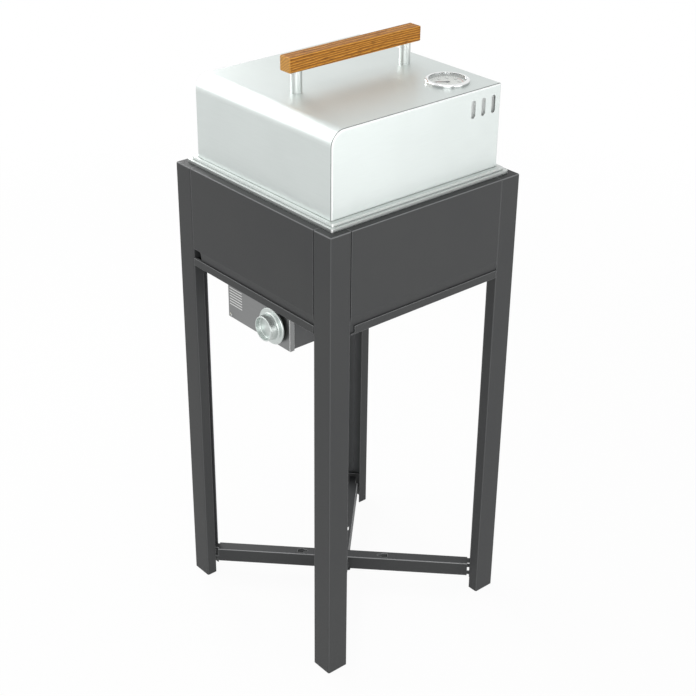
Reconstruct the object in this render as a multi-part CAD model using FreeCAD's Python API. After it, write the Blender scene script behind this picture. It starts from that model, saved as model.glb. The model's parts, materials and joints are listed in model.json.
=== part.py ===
"""Compact gas grill on a folded sheet steel stand, millimetres, +Z up.

The stand is a square frame: four lipped angle legs, four aprons between them, a floor pan whose
hemmed edge shows under the aprons, and two channel bars that cross near the floor. A rimmed grill
tub with burner, flame tamer and grate drops into it from above, a lift-off hood with a wooden bar
handle closes it, and a control box with the gas valve and one knob hangs under the front apron.

The front is -Y. The model is worked out about the middle of the stand and moved back a little at
the end, so that the origin is under the middle of the whole object, at the floor.
"""
import FreeCAD, Part
import math
import os

V = FreeCAD.Vector
X_AXIS = V(1, 0, 0)
Y_AXIS = V(0, 1, 0)
Z_AXIS = V(0, 0, 1)
CENTRE = V(0, 0, 0)

# Stand
STAND_WIDTH = 420.0
STAND_DEPTH = 420.0
STAND_HEIGHT = 872.0
LEG_SHEET = 2.0
LEG_FLANGE = 43.0
LEG_LIP = 20.0
LEG_INNER_BEND = 1.0
TOP_FLANGE = 24.0
SEAM = 0.4

# Aprons and floor pan
APRON_SHEET = 1.5
APRON_DROP = 185.0
APRON_SIDE_FLANGE = 18.0
PAN_SHEET = 1.2
PAN_RIM = 15.0
PAN_HEM = 8.0
HEM_GAP = 0.4
GROOVE_HEIGHT = 18.0
RELIEF_NOTCH = 20.0
RIM_NOTCH_WIDTH = 9.0
RIM_NOTCH_HEIGHT = 12.0
PAN_SLOT_COUNT = 5
PAN_SLOT_PITCH = 30.0
PAN_SLOT_LENGTH = 40.0
PAN_SLOT_WIDTH = 8.0
PAN_SLOT_INSET = 50.0
PIPE_HOLE_CLEAR = 3.0
SHEET_BEND = 0.8

# Sheet screws
SCREW_R = 2.5
SCREW_HEAD_R = 4.6
SCREW_HEAD_H = 2.8
NUT_R = 4.4
NUT_H = 3.6
SCREW_END = 0.5
HOLE_CLEAR = 0.15
SCREW_EDGE = 10.0
SCREW_FROM_TOP = 28.0
SCREW_SPACING = 90.0

# Cross brace
BAR_WIDTH = 24.0
BAR_HEIGHT = 28.0
BAR_BOTTOM = 24.5
BAR_SHEET = 1.5
BAR_END_GAP = 3.0
BAR_TONGUE = 14.0
BAR_EAR = 8.0
BAR_EAR_RISE = 3.0
BAR_EAR_GAP = 6.0
BAR_TAB_DROP = 20.0
LAP_CLEAR = 0.3
KEYHOLE_OFFSET = 79.0
KEYHOLE_EYE = 12.0
KEYHOLE_SLOT = 6.0
KEYHOLE_LENGTH = 20.0
CLEAT_HEIGHT = 34.0
CLEAT_INSET = 28.0
CLEAT_SHEET = 1.5
CROSS_PLATE = 34.0
CROSS_PLATE_CORNER = 4.0

# Grill rim and tub
RIM_MARGIN = 14.0
RIM_SHEET = 1.2
RIM_STEP_LOW = 6.0
RIM_STEP_HIGH = 5.0
RIM_STEP_WIDTH = 6.0
RIM_FOOT = 6.0
RIM_UPSTAND = 6.0
RIM_CORNER = 4.0
UPSTAND_INSET = 3.5
UPSTAND_PROUD = 1.0
TUB_SHEET = 1.2
TUB_TOP_BAND = 22.0
TUB_LEDGE = 13.0
TUB_DEPTH = 118.0
TUB_CORNER = 18.0
TUB_FLOOR_ROUND = 10.0
TUB_SLOT_COUNT = 4
TUB_SLOT_PITCH = 50.0
TUB_SLOT_LENGTH = 30.0
TUB_SLOT_WIDTH = 8.0

# Hood
HOOD_SIDE_INSET = 30.0
HOOD_FRONT_INSET = 26.0
HOOD_HEIGHT = 147.2
HOOD_SHEET = 1.2
HOOD_FRONT_ROUND = 27.0
HOOD_BACK_BEND = 1.6
HOOD_SIDE_ROUND = 2.2
HOOD_SEAM = 0.2
HOOD_SIDE_FLANGE = 18.0
BODY_CLEAR = 0.3
VENT_WIDTH = 9.0
VENT_HEIGHT = 31.0
VENT_PITCH = 23.0
VENT_COUNT = 3
VENT_FROM_BACK = 18.0
VENT_FROM_TOP = 33.0
DEFLECTOR_SHEET = 0.8
DEFLECTOR_GAP = 6.0
DEFLECTOR_LAP = 9.0
DEFLECTOR_WELD = 5.4

# Handle
HANDLE_LENGTH = 285.0
HANDLE_WIDTH = 27.0
HANDLE_HEIGHT = 26.0
HANDLE_EDGE = 2.0
HANDLE_SHIFT = 11.0
POST_R = 9.6
POST_HEIGHT = 38.0
POST_PITCH = 238.0
POST_SCREW_R = 3.0
POST_SCREW_HEAD_R = 6.0
POST_SCREW_HEAD_H = 4.0
POST_SCREW_BITE = 17.0
POST_SOCKET_R = 2.6
POST_SOCKET_DEPTH = 2.5

# Thermometer
GAUGE_FROM_SIDE = 62.0
GAUGE_FROM_BACK = 66.0
GAUGE_R = 37.6
GAUGE_HEIGHT = 5.4
GAUGE_BEZEL = 6.4
GAUGE_WALL = 1.4
GAUGE_DEPTH = 8.0
GAUGE_FLOOR = 1.2
GAUGE_SKIRT = 2.0
GAUGE_PROBE_R = 3.0
GAUGE_PROBE_L = 50.0
GAUGE_BOSS_R = 7.0
GAUGE_BOSS_H = 4.0
GAUGE_NUT_WALL = 5.0
GAUGE_NUT_H = 4.0
GAUGE_NUT_FLAT = 1.7
THREAD_CLEAR = 0.05
DIAL_T = 0.6
DIAL_DROP = 6.4
GLASS_T = 1.2
GLASS_SEAT = 0.7
POINTER_T = 0.6
POINTER_LENGTH = 19.5
POINTER_TAIL = 4.5
POINTER_WIDTH = 2.6
POINTER_TIP = 0.6
POINTER_HUB_R = 3.2
POINTER_LIFT = 0.4
POINTER_ANGLE = 231.0
PIVOT_R = 1.0
PIVOT_CLEAR = 0.1
PIVOT_HEAD = 0.5

# Cooking grate and flame tamer
ROD_R = 2.5
ROD_PITCH = 15.0
CROSS_ROD_R = 3.0
CROSS_ROD_PITCH = 200.0
GRATE_CLEAR = 2.0
TAMER_SHEET = 1.5
TAMER_BEND = 2.0
TAMER_WIDTH = 104.0
TAMER_RISE = 20.0
TAMER_CLEAR = 2.0
TAMER_GAP = 4.0
TAMER_SLOTS = 6
TAMER_SLOT_LENGTH = 26.0
TAMER_SLOT_WIDTH = 6.0
BRACKET_SHEET = 1.5
BRACKET_LEG = 14.0
BRACKET_WIDTH = 112.0

# Burner and gas train
BURNER_R = 16.0
BURNER_WALL = 1.2
BURNER_HEIGHT = 30.0
BURNER_BACK_GAP = 32.0
BURNER_STUD_R = 4.0
BURNER_STUD_L = 14.0
BURNER_BRACKET_WIDTH = 30.0
BURNER_BRACKET_RISE = 12.0
BURNER_BRACKET_DROP = 10.0
BURNER_BRACKET_FOOT = 16.0
BURNER_BRACKET_GAP = 2.0
PORT_R = 1.5
PORT_PITCH = 18.0
PORT_ANGLE = 55.0
PORT_FROM_FRONT = 25.0
PORT_FROM_BACK = 15.0
JET_FROM_FRONT = 26.0
JET_BLOCK = 12.0
JET_BORE_R = 0.8
NOZZLE_R = 4.5
NOZZLE_LENGTH = 9.0
CUP_WALL = 1.6
AIR_GAP = 5.0
AIR_WINDOW_LENGTH = 4.5
AIR_WINDOW_HEIGHT = 16.0
FIT_CLEAR = 0.1
PIPE_R = 4.0
PIPE_BEND = 16.0
PIPE_BITE = 4.0
PIPE_STEP = 1.0
ELECTRODE_R = 3.0
ELECTRODE_HEIGHT = 26.0
ELECTRODE_TIP_R = 1.0
ELECTRODE_TIP = 14.0
ELECTRODE_BELOW = 12.0
ELECTRODE_COLLAR_R = 5.0
ELECTRODE_COLLAR_T = 2.0
ELECTRODE_OFFSET = 26.0
TRAY_WIDTH = 200.0
TRAY_DEPTH = 150.0
TRAY_HEIGHT = 20.0
TRAY_SHEET = 1.0
TRAY_CORNER = 8.0
TRAY_OFFSET = 50.0
DRAIN_LENGTH = 60.0
DRAIN_WIDTH = 20.0

# Control box
BOX_WIDTH = 171.4
BOX_DEPTH = 119.0
BOX_HEIGHT = 71.7
BOX_SHEET = 1.2
BOX_FLANGE = 12.0
BOX_LUG = 12.0
BOX_ROUND = 2.0
BOX_SCREW_INSET = 30.0
PANEL_RECESS = 14.5
PANEL_SHEET = 1.2
PANEL_RETURN = 10.0
PANEL_GAP = 0.1
PANEL_EDGE = 1.2
PANEL_SCREW_X = 6.4
PANEL_SCREW_Z = 4.8
PANEL_SCREW_R = 1.5
PANEL_SCREW_HEAD_R = 4.0
PANEL_SCREW_HEAD_H = 2.2
PANEL_SCREW_ROUND = 1.2
PANEL_SCREW_LENGTH = 8.0
PANEL_SOCKET_R = 1.5
PANEL_SOCKET_DEPTH = 1.2

# Valve and knob
VALVE_X = 47.0
VALVE_DROP = 36.0
VALVE_R = 13.0
VALVE_LENGTH = 36.0
VALVE_FLANGE_W = 40.0
VALVE_FLANGE_H = 22.0
VALVE_FLANGE_T = 2.0
VALVE_FLANGE_ROUND = 6.0
VALVE_SCREW_PITCH = 30.0
VALVE_SCREW_END = 2.0
VALVE_NECK = 4.0
VALVE_BOSS_WALL = 2.5
VALVE_BOSS_RISE = 5.0
PLUG_LENGTH = 20.0
PLUG_R_FRONT = 7.0
PLUG_R_BACK = 5.6
STEM_R = 4.0
STEM_TANG_T = 3.0
STEM_TANG_L = 9.0
STEM_TANG_CLEAR = 0.2
STEM_END_CLEAR = 1.5
STEM_HOLE_CLEAR = 2.0
STEM_FLAT = 1.0
STEM_IN_KNOB = 9.0
KNOB_TRAVEL = 3.0
KNOB_STANDOFF = 5.0
KNOB_SKIRT_R = 33.0
KNOB_SKIRT_T = 5.0
KNOB_CAP_R = 22.8
KNOB_CAP_TOP_R = 22.3
KNOB_HEIGHT = 21.0
KNOB_ROUND = 1.2
KNOB_RIM = 2.2
KNOB_DISH = 8.5
KNOB_DISH_DRAFT = 0.8
KNOB_DISH_FILLET = 0.8
KNOB_WALL = 2.4
KNOB_FLARE = 3.0
KNOB_HUB_R = 7.5
KNOB_FIT = 0.05
MARK_WIDTH = 1.6
MARK_DEPTH = 0.7
MARK_START = 8.0
INLET_THREAD_R = 6.58
INLET_THREAD_L = 12.0
INLET_HEX_R = 9.5
INLET_HEX_T = 6.0
INLET_BORE_R = 3.0

# Worked out from the sizes above
HALF_W = STAND_WIDTH / 2
HALF_D = STAND_DEPTH / 2
LEG_BEND = LEG_SHEET + LEG_INNER_BEND
PAN_Z = STAND_HEIGHT - APRON_DROP
PAN_FLOOR_Z = PAN_Z + PAN_SHEET
PAN_TOP_Z = PAN_Z + PAN_RIM
GROOVE_TOP_Z = PAN_TOP_Z + GROOVE_HEIGHT
HEM_THICK = 2 * PAN_SHEET + HEM_GAP
BAR_TOP = BAR_BOTTOM + BAR_HEIGHT
RIM_HALF_W = HALF_W - RIM_MARGIN
RIM_HALF_D = HALF_D - RIM_MARGIN
RIM_LOW_Z = STAND_HEIGHT + RIM_STEP_LOW
RIM_TOP_Z = RIM_LOW_Z + RIM_STEP_HIGH
HOOD_WIDTH = STAND_WIDTH - 2 * HOOD_SIDE_INSET
HOOD_DEPTH = STAND_DEPTH - 2 * HOOD_FRONT_INSET
HOOD_Z = RIM_TOP_Z + BODY_CLEAR
HOOD_TOP_Z = HOOD_Z + HOOD_HEIGHT
HOOD_UNDER_Z = HOOD_TOP_Z - HOOD_SHEET
HOOD_BACK_ROUND = HOOD_BACK_BEND + 2 * HOOD_SHEET
GAUGE_X = HOOD_WIDTH / 2 - GAUGE_FROM_SIDE
GAUGE_Y = HOOD_DEPTH / 2 - GAUGE_FROM_BACK
UPSTAND_HALF_W = HOOD_WIDTH / 2 - UPSTAND_INSET
UPSTAND_HALF_D = HOOD_DEPTH / 2 - UPSTAND_INSET
TUB_HALF_W = UPSTAND_HALF_W - RIM_SHEET
TUB_HALF_D = UPSTAND_HALF_D - RIM_SHEET
TUB_TOP_Z = RIM_TOP_Z + RIM_UPSTAND - UPSTAND_PROUD
LEDGE_Z = TUB_TOP_Z - TUB_TOP_BAND
TUB_LOW_HALF_W = TUB_HALF_W - TUB_LEDGE
TUB_LOW_HALF_D = TUB_HALF_D - TUB_LEDGE
TUB_Z = TUB_TOP_Z - TUB_DEPTH
TUB_FLOOR_Z = TUB_Z + TUB_SHEET
BURNER_Z = TUB_FLOOR_Z + BURNER_HEIGHT
TAMER_Z = BURNER_Z + BURNER_R + TAMER_GAP + BRACKET_LEG
HANDLE_Z = HOOD_TOP_Z + POST_HEIGHT
PANEL_Y = -HALF_D + PANEL_RECESS
BOX_FRONT_Y = PANEL_Y + PANEL_SHEET
BOX_BACK_Y = BOX_FRONT_Y + BOX_DEPTH
BOX_Z = PAN_Z - BOX_HEIGHT
VALVE_Z = PAN_Z - VALVE_DROP
VALVE_FRONT_Y = BOX_FRONT_Y
VALVE_BACK_Y = VALVE_FRONT_Y + VALVE_FLANGE_T + VALVE_LENGTH
PLUG_Y = VALVE_FRONT_Y + VALVE_NECK
JET_Y = -HALF_D + JET_FROM_FRONT
KNOB_BACK_Y = PANEL_Y - KNOB_STANDOFF
KNOB_FRONT_Y = KNOB_BACK_Y - KNOB_HEIGHT
ORIGIN_SHIFT = max(0.0, (-KNOB_FRONT_Y - HALF_D) / 2)


def block(x0, x1, y0, y1, z0, z1):
    """Box between two corners."""
    return Part.makeBox(x1 - x0, y1 - y0, z1 - z0, V(x0, y0, z0))


def centred(half_x, half_y, z0, z1):
    """Box about the Z axis."""
    return block(-half_x, half_x, -half_y, half_y, z0, z1)


def rod(start, axis, radius, length):
    """Cylinder from a point along an axis."""
    return Part.makeCylinder(radius, length, start, axis)


def hexagon(start, axis, radius, length):
    """Hexagonal prism from a point along an axis, radius to its corners."""
    side = X_AXIS if abs(axis.x) < 0.5 else Y_AXIS
    other = axis.cross(side)
    points = []
    for k in range(7):
        a = math.radians(60 * k)
        points.append(start + side * (radius * math.cos(a)) + other * (radius * math.sin(a)))
    return Part.Face(Part.makePolygon(points)).extrude(axis * length)


def union(shapes):
    """One solid out of pieces that touch or overlap."""
    return shapes[0].multiFuse(shapes[1:]).removeSplitter()


def round_edges(shape, radius, wanted):
    """Round the edges whose middle point passes the test."""
    edges = []
    for edge in shape.Edges:
        middle = edge.valueAt((edge.FirstParameter + edge.LastParameter) / 2)
        if wanted(middle):
            edges.append(edge)
    return shape.makeFillet(radius, edges)


def near(a, b):
    """True where two lengths are the same."""
    return abs(a - b) < 1e-4


def add_straight(edges, a, b):
    """Append a straight edge, unless its ends are the same point."""
    if a.distanceToPoint(b) > 1e-6:
        edges.append(Part.LineSegment(a, b).toShape())


def sheet_outline(path, thick, inner):
    """Closed outline of bent sheet about its middle line, as edges in the YZ plane.

    path is a list of (y, z) points of the middle line, inner the inside radius of each bend.
    """
    middle = inner + thick / 2
    points = [V(0, y, z) for y, z in path]
    sides = {1: [], -1: []}
    for side in (1, -1):
        chain = []
        for k, point in enumerate(points):
            if k == 0 or k == len(points) - 1:
                along = points[1] - points[0] if k == 0 else points[-1] - points[-2]
                along.normalize()
                normal = X_AXIS.cross(along)
                chain.append(("point", point + normal * (side * thick / 2)))
                continue
            before = points[k] - points[k - 1]
            after = points[k + 1] - points[k]
            before.normalize()
            after.normalize()
            turn = before.getAngle(after)
            way = 1 if before.cross(after).x > 0 else -1
            reach = middle * math.tan(turn / 2)
            normal_in = X_AXIS.cross(before)
            normal_out = X_AXIS.cross(after)
            hub = point - before * reach + normal_in * (way * middle)
            radius = middle - way * side * thick / 2
            start = hub - normal_in * (way * radius)
            end = hub - normal_out * (way * radius)
            halfway = normal_in + normal_out
            halfway.normalize()
            bulge = hub - halfway * (way * radius)
            chain.append(("arc", start, bulge, end))
        sides[side] = chain
    edges = []
    last = None
    first = None
    for side in (1, -1):
        chain = sides[side] if side == 1 else list(reversed(sides[side]))
        for item in chain:
            if item[0] == "point":
                if last is not None:
                    add_straight(edges, last, item[1])
                last = item[1]
            else:
                start, bulge, end = item[1:] if side == 1 else (item[3], item[2], item[1])
                add_straight(edges, last, start)
                edges.append(Part.Arc(start, bulge, end).toShape())
                last = end
            if first is None:
                first = last
    add_straight(edges, last, first)
    return edges


def folded(path, thick, inner, x0, x1):
    """Sheet bent along a (y, z) path and x1 - x0 wide."""
    face = Part.Face(Part.Wire(sheet_outline(path, thick, inner)))
    solid = face.extrude(V(x1 - x0, 0, 0))
    solid.translate(V(x0, 0, 0))
    return solid


def rounded_slab(half_x, half_y, radius, z0, z1):
    """Upright slab with rounded corners about the Z axis."""
    slab = centred(half_x, half_y, z0, z1)
    return round_edges(slab, radius, lambda p: near(abs(p.x), half_x) and near(abs(p.y), half_y))


def revolved(points, centre, axis_is_y):
    """Turned solid from (radius, height) points.

    The height runs along +Z, or along +Y where axis_is_y is set.
    """
    if axis_is_y:
        corners = [centre + V(r, h, 0) for r, h in points]
        axis = Y_AXIS
    else:
        corners = [centre + V(r, 0, h) for r, h in points]
        axis = Z_AXIS
    face = Part.Face(Part.makePolygon(corners + [corners[0]]))
    return face.revolve(centre, axis, 360)


def slot_cutter(centre, along, through, length, width, depth):
    """Round-ended slot cutter, centred on a point."""
    across = through.cross(along)
    straight = length / 2 - width / 2
    corner = centre - along * straight - across * (width / 2) - through * (depth / 2)
    points = [corner, corner + along * (2 * straight)]
    points.append(points[1] + across * width)
    points.append(corner + across * width)
    points.append(corner)
    body = Part.Face(Part.makePolygon(points)).extrude(through * depth)
    ends = []
    for way in (-1, 1):
        start = centre + along * (way * straight) - through * (depth / 2)
        ends.append(rod(start, through, width / 2, depth))
    return union([body] + ends)


def sides():
    """The four sides: name, quarter turns, width and distance from the middle."""
    return [
        ("front", 0, STAND_WIDTH, HALF_D),
        ("right", 1, STAND_DEPTH, HALF_W),
        ("back", 2, STAND_WIDTH, HALF_D),
        ("left", 3, STAND_DEPTH, HALF_W),
    ]


def turned(shape, quarters):
    """Copy turned about the Z axis by quarter turns."""
    copy = shape.copy()
    copy.rotate(CENTRE, Z_AXIS, 90 * quarters)
    return copy


def corners():
    """The four corners: name, quarter turns and place of the outer corner."""
    return [
        ("front_left", 0, V(-HALF_W, -HALF_D, 0)),
        ("front_right", 1, V(HALF_W, -HALF_D, 0)),
        ("back_right", 2, V(HALF_W, HALF_D, 0)),
        ("back_left", 3, V(-HALF_W, HALF_D, 0)),
    ]


def at_corner(shape, quarters, place):
    """Copy of a shape made at the front left corner, moved to another corner."""
    copy = turned(shape, quarters)
    copy.translate(place)
    return copy


def screw_heights():
    """Heights of the apron screws on each leg lip."""
    top = STAND_HEIGHT - SCREW_FROM_TOP
    return [top, top - SCREW_SPACING]


def lip_screw_holes(radius):
    """Cutters through the two lips of a leg that stands with its corner at the origin."""
    cutters = []
    reach = LEG_SHEET + 2
    for z in screw_heights():
        cutters.append(rod(V(LEG_FLANGE - reach + 1, SCREW_EDGE, z), X_AXIS, radius, reach))
        cutters.append(rod(V(SCREW_EDGE, LEG_FLANGE - reach + 1, z), Y_AXIS, radius, reach))
    return cutters


def leg_shape():
    """Lipped angle with its outer corner on the Z axis and a folded top."""
    outer = block(0, LEG_FLANGE, 0, LEG_FLANGE, 0, STAND_HEIGHT)

    def outside_bend(p):
        upright = near(p.z, STAND_HEIGHT / 2) and (near(p.x, 0) or near(p.y, 0))
        upper = near(p.z, STAND_HEIGHT) and (near(p.x, 0) or near(p.y, 0))
        return upright or upper

    outer = round_edges(outer, LEG_BEND, outside_bend)
    far = LEG_FLANGE - LEG_SHEET
    ceiling = STAND_HEIGHT - LEG_SHEET
    inner = block(LEG_SHEET, far, LEG_SHEET, far, -LEG_BEND, ceiling)

    def inside_bend(p):
        return not near(p.z, -LEG_BEND) and (near(p.x, LEG_SHEET) or near(p.y, LEG_SHEET))

    inner = round_edges(inner, LEG_INNER_BEND, inside_bend)
    mouth = block(LEG_LIP, LEG_FLANGE + 1, LEG_LIP, LEG_FLANGE + 1, -1, ceiling)
    top_cut = block(TOP_FLANGE, LEG_FLANGE + 1, TOP_FLANGE, LEG_FLANGE + 1, ceiling - 1, STAND_HEIGHT + 1)
    side_cut_x = block(far, LEG_FLANGE + 1, LEG_LIP, LEG_FLANGE + 1, -1, ceiling)
    side_cut_y = block(LEG_LIP, LEG_FLANGE + 1, far, LEG_FLANGE + 1, -1, ceiling)
    leg = outer.cut(inner)
    for cutter in [mouth, top_cut, side_cut_x, side_cut_y] + lip_screw_holes(SCREW_R + HOLE_CLEAR):
        leg = leg.cut(cutter)
    return leg


def apron_shape(width, reach, notched):
    """Apron for the front, between the legs: joggled foot, face, top flange and side flanges."""
    half = width / 2 - LEG_FLANGE - SEAM
    face_y = -reach + APRON_SHEET / 2
    foot_y = -reach + HEM_THICK + PANEL_GAP + APRON_SHEET / 2
    path = [
        (foot_y, PAN_FLOOR_Z),
        (foot_y, PAN_TOP_Z + HEM_GAP),
        (face_y, GROOVE_TOP_Z),
        (face_y, STAND_HEIGHT - APRON_SHEET / 2),
        (-reach + TOP_FLANGE, STAND_HEIGHT - APRON_SHEET / 2),
    ]
    parts = [folded(path, APRON_SHEET, LEG_INNER_BEND, -half, half)]
    flange_low = GROOVE_TOP_Z + LEG_BEND
    flange_high = STAND_HEIGHT - APRON_SHEET
    for x in (-half, half - APRON_SHEET):
        y0 = -reach + APRON_SHEET / 2
        parts.append(block(x, x + APRON_SHEET, y0, -reach + APRON_SIDE_FLANGE, flange_low, flange_high))
    apron = union(parts)
    for z in screw_heights():
        hole = rod(V(-half - 1, -reach + SCREW_EDGE, z), X_AXIS, SCREW_R + HOLE_CLEAR, 2 * half + 2)
        apron = apron.cut(hole)
    if notched:
        notch = block(-half - 1, -half + RELIEF_NOTCH, -reach - 1, foot_y + APRON_SHEET,
                      PAN_TOP_Z, GROOVE_TOP_Z)
        apron = apron.cut(notch)
    return apron


def pan_rim_shape(width, reach):
    """Hemmed upright edge of the floor pan, at the front."""
    half = width / 2 - LEG_FLANGE - SEAM
    mid = PAN_SHEET / 2
    hem_y = -reach + HEM_THICK - mid
    path = [
        (-reach + LEG_LIP, PAN_Z + mid),
        (-reach + mid, PAN_Z + mid),
        (-reach + mid, PAN_TOP_Z - mid),
        (hem_y, PAN_TOP_Z - mid),
        (hem_y, PAN_TOP_Z - PAN_HEM),
    ]
    return folded(path, PAN_SHEET, HEM_GAP / 2, -half, half)


def base_pan_shape():
    """Floor of the aprons: a cross-shaped plate with four hemmed rims and vent slots."""
    half_x = HALF_W - LEG_FLANGE - SEAM
    half_y = HALF_D - LEG_FLANGE - SEAM
    edge = LEG_LIP - 1
    parts = [block(-half_x, half_x, -HALF_D + edge, HALF_D - edge, PAN_Z, PAN_FLOOR_Z)]
    parts.append(block(-HALF_W + edge, HALF_W - edge, -half_y, half_y, PAN_Z, PAN_FLOOR_Z))
    for _name, quarters, width, reach in sides():
        parts.append(turned(pan_rim_shape(width, reach), quarters))
    pan = union(parts)
    notch = block(-half_y - 1, -half_y + RIM_NOTCH_WIDTH, -HALF_W - 1, -HALF_W + HEM_THICK,
                  PAN_TOP_Z - RIM_NOTCH_HEIGHT, PAN_TOP_Z + 1)
    pan = pan.cut(turned(notch, 1))
    pan = pan.cut(rod(V(VALVE_X, JET_Y, PAN_Z - 1), Z_AXIS, PIPE_R + PIPE_HOLE_CLEAR, PAN_SHEET + 2))
    for x, y in box_screw_places():
        pan = pan.cut(rod(V(x, y, PAN_Z - 1), Z_AXIS, SCREW_R + HOLE_CLEAR, PAN_SHEET + 2))
    for row in (-1, 1):
        for k in range(PAN_SLOT_COUNT):
            y = (k - (PAN_SLOT_COUNT - 1) / 2) * PAN_SLOT_PITCH
            centre = V(row * (half_x - PAN_SLOT_INSET), y, PAN_Z + PAN_SHEET / 2)
            slot = slot_cutter(centre, X_AXIS, Z_AXIS, PAN_SLOT_LENGTH, PAN_SLOT_WIDTH, PAN_SHEET + 2)
            pan = pan.cut(slot)
    return pan


def sheet_screw(start, axis, grip):
    """Button screw with its nut: the head lies before start, the nut after the grip."""
    head = rod(start - axis * SCREW_HEAD_H, axis, SCREW_HEAD_R, SCREW_HEAD_H)
    shank = rod(start, axis, SCREW_R, grip + NUT_H + SCREW_END)
    nut = hexagon(start + axis * grip, axis, NUT_R, NUT_H)
    return union([head, shank, nut])


def apron_screws_shape():
    """Sixteen screws through the leg lips and the aprons' side flanges."""
    grip = LEG_SHEET + SEAM + APRON_SHEET
    screws = []
    for _name, quarters, place in corners():
        for z in screw_heights():
            one = sheet_screw(V(LEG_FLANGE - LEG_SHEET, SCREW_EDGE, z), X_AXIS, grip)
            two = sheet_screw(V(SCREW_EDGE, LEG_FLANGE - LEG_SHEET, z), Y_AXIS, grip)
            screws.append(at_corner(one, quarters, place))
            screws.append(at_corner(two, quarters, place))
    return Part.makeCompound(screws)


def brace_reach():
    """Distance along the diagonal from the middle to the cleats' near faces."""
    return math.hypot(HALF_W - LEG_SHEET, HALF_D - LEG_SHEET) - CLEAT_INSET / math.sqrt(2)


def brace_bar_shape(upper):
    """Inverted channel along the X axis with tongues and ears at its ends.

    The upper bar keeps its top plate over the crossing, the lower one is cut away there.
    """
    cleat_at = brace_reach()
    lips_at = math.hypot(HALF_W - LEG_FLANGE + LEG_LIP / 2, HALF_D - LEG_FLANGE + LEG_LIP / 2)
    body = lips_at - BAR_END_GAP
    half = BAR_WIDTH / 2
    mid = BAR_SHEET / 2
    path = [(-half + mid, BAR_BOTTOM), (-half + mid, BAR_TOP - mid)]
    path += [(half - mid, BAR_TOP - mid), (half - mid, BAR_BOTTOM)]
    bar = folded(path, BAR_SHEET, SHEET_BEND, -body, body)
    parts = [bar]
    for way in (-1, 1):
        tongue = block(body - 2, cleat_at, -BAR_TONGUE / 2, BAR_TONGUE / 2, BAR_TOP - BAR_SHEET, BAR_TOP)
        tab = block(cleat_at - BAR_SHEET, cleat_at, -BAR_TONGUE / 2, BAR_TONGUE / 2,
                    BAR_TOP - BAR_TAB_DROP, BAR_TOP)
        ears = []
        ear_z = BAR_BOTTOM + BAR_EAR_RISE
        for y in (-half, half - BAR_SHEET):
            ears.append(block(body - 2, cleat_at - BAR_EAR_GAP, y, y + BAR_SHEET, ear_z, ear_z + BAR_EAR))
        for piece in [tongue, tab] + ears:
            if way < 0:
                piece.rotate(CENTRE, Z_AXIS, 180)
            parts.append(piece)
    bar = union(parts)
    gap = half + LAP_CLEAR
    waist = BAR_BOTTOM + BAR_HEIGHT / 2
    if upper:
        bar = bar.cut(block(-gap, gap, -half - 1, half + 1, BAR_BOTTOM - 1, waist + LAP_CLEAR))
        bar = bar.cut(rod(V(0, 0, BAR_TOP - BAR_SHEET - 1), Z_AXIS, SCREW_R + HOLE_CLEAR, BAR_SHEET + 2))
    else:
        bar = bar.cut(block(-gap, gap, -half - 1, half + 1, waist, BAR_TOP + 1))
    for way in (-1, 1):
        end = rod(V(way * (cleat_at - BAR_SHEET - 1), 0, tab_screw_z()), X_AXIS * way,
                  SCREW_R + HOLE_CLEAR, BAR_SHEET + 2)
        bar = bar.cut(end)
        outer = KEYHOLE_OFFSET + KEYHOLE_LENGTH / 2
        eye = block(outer - KEYHOLE_EYE, outer, -KEYHOLE_EYE / 2, KEYHOLE_EYE / 2,
                    BAR_TOP - BAR_SHEET - 1, BAR_TOP + 1)
        if way < 0:
            eye.rotate(CENTRE, Z_AXIS, 180)
        bar = bar.cut(eye)
        neck_length = KEYHOLE_LENGTH - KEYHOLE_EYE / 2
        middle = V(way * (outer - KEYHOLE_LENGTH + neck_length / 2), 0, BAR_TOP - BAR_SHEET / 2)
        bar = bar.cut(slot_cutter(middle, X_AXIS, Z_AXIS, neck_length, KEYHOLE_SLOT, BAR_SHEET + 2))
    return bar


def tab_screw_z():
    """Height of the screw through the end tab of a brace bar."""
    return BAR_TOP - BAR_TAB_DROP / 2 - BAR_SHEET / 2


def place_bar(shape, quarters):
    """Copy of a shape made along the X axis, turned onto a diagonal of the stand."""
    angle = math.degrees(math.atan2(HALF_D - LEG_SHEET, HALF_W - LEG_SHEET))
    copy = shape.copy()
    copy.rotate(CENTRE, Z_AXIS, angle if quarters % 2 == 0 else 180 - angle)
    return copy


def brace_cleats_shape():
    """Four plates across the inside of the legs that the brace bars are screwed to."""
    cleats = []
    low = tab_screw_z() - CLEAT_HEIGHT / 2
    for _name, quarters, place in corners():
        inner = LEG_SHEET
        a = V(inner + CLEAT_INSET, inner, low)
        b = V(inner, inner + CLEAT_INSET, low)
        outward = V(-1, -1, 0)
        outward.normalize()
        slant = CLEAT_SHEET * math.sqrt(2)
        wedge = [a, b, b + V(0, -slant, 0), a + V(-slant, 0, 0), a]
        cleat = Part.Face(Part.makePolygon(wedge)).extrude(V(0, 0, CLEAT_HEIGHT))
        middle = (a + b) * 0.5 + V(0, 0, CLEAT_HEIGHT / 2)
        cleat = cleat.cut(rod(middle - outward, outward, SCREW_R + HOLE_CLEAR, CLEAT_SHEET + 2))
        cleats.append(at_corner(cleat, quarters, place))
    return Part.makeCompound(cleats)


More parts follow.
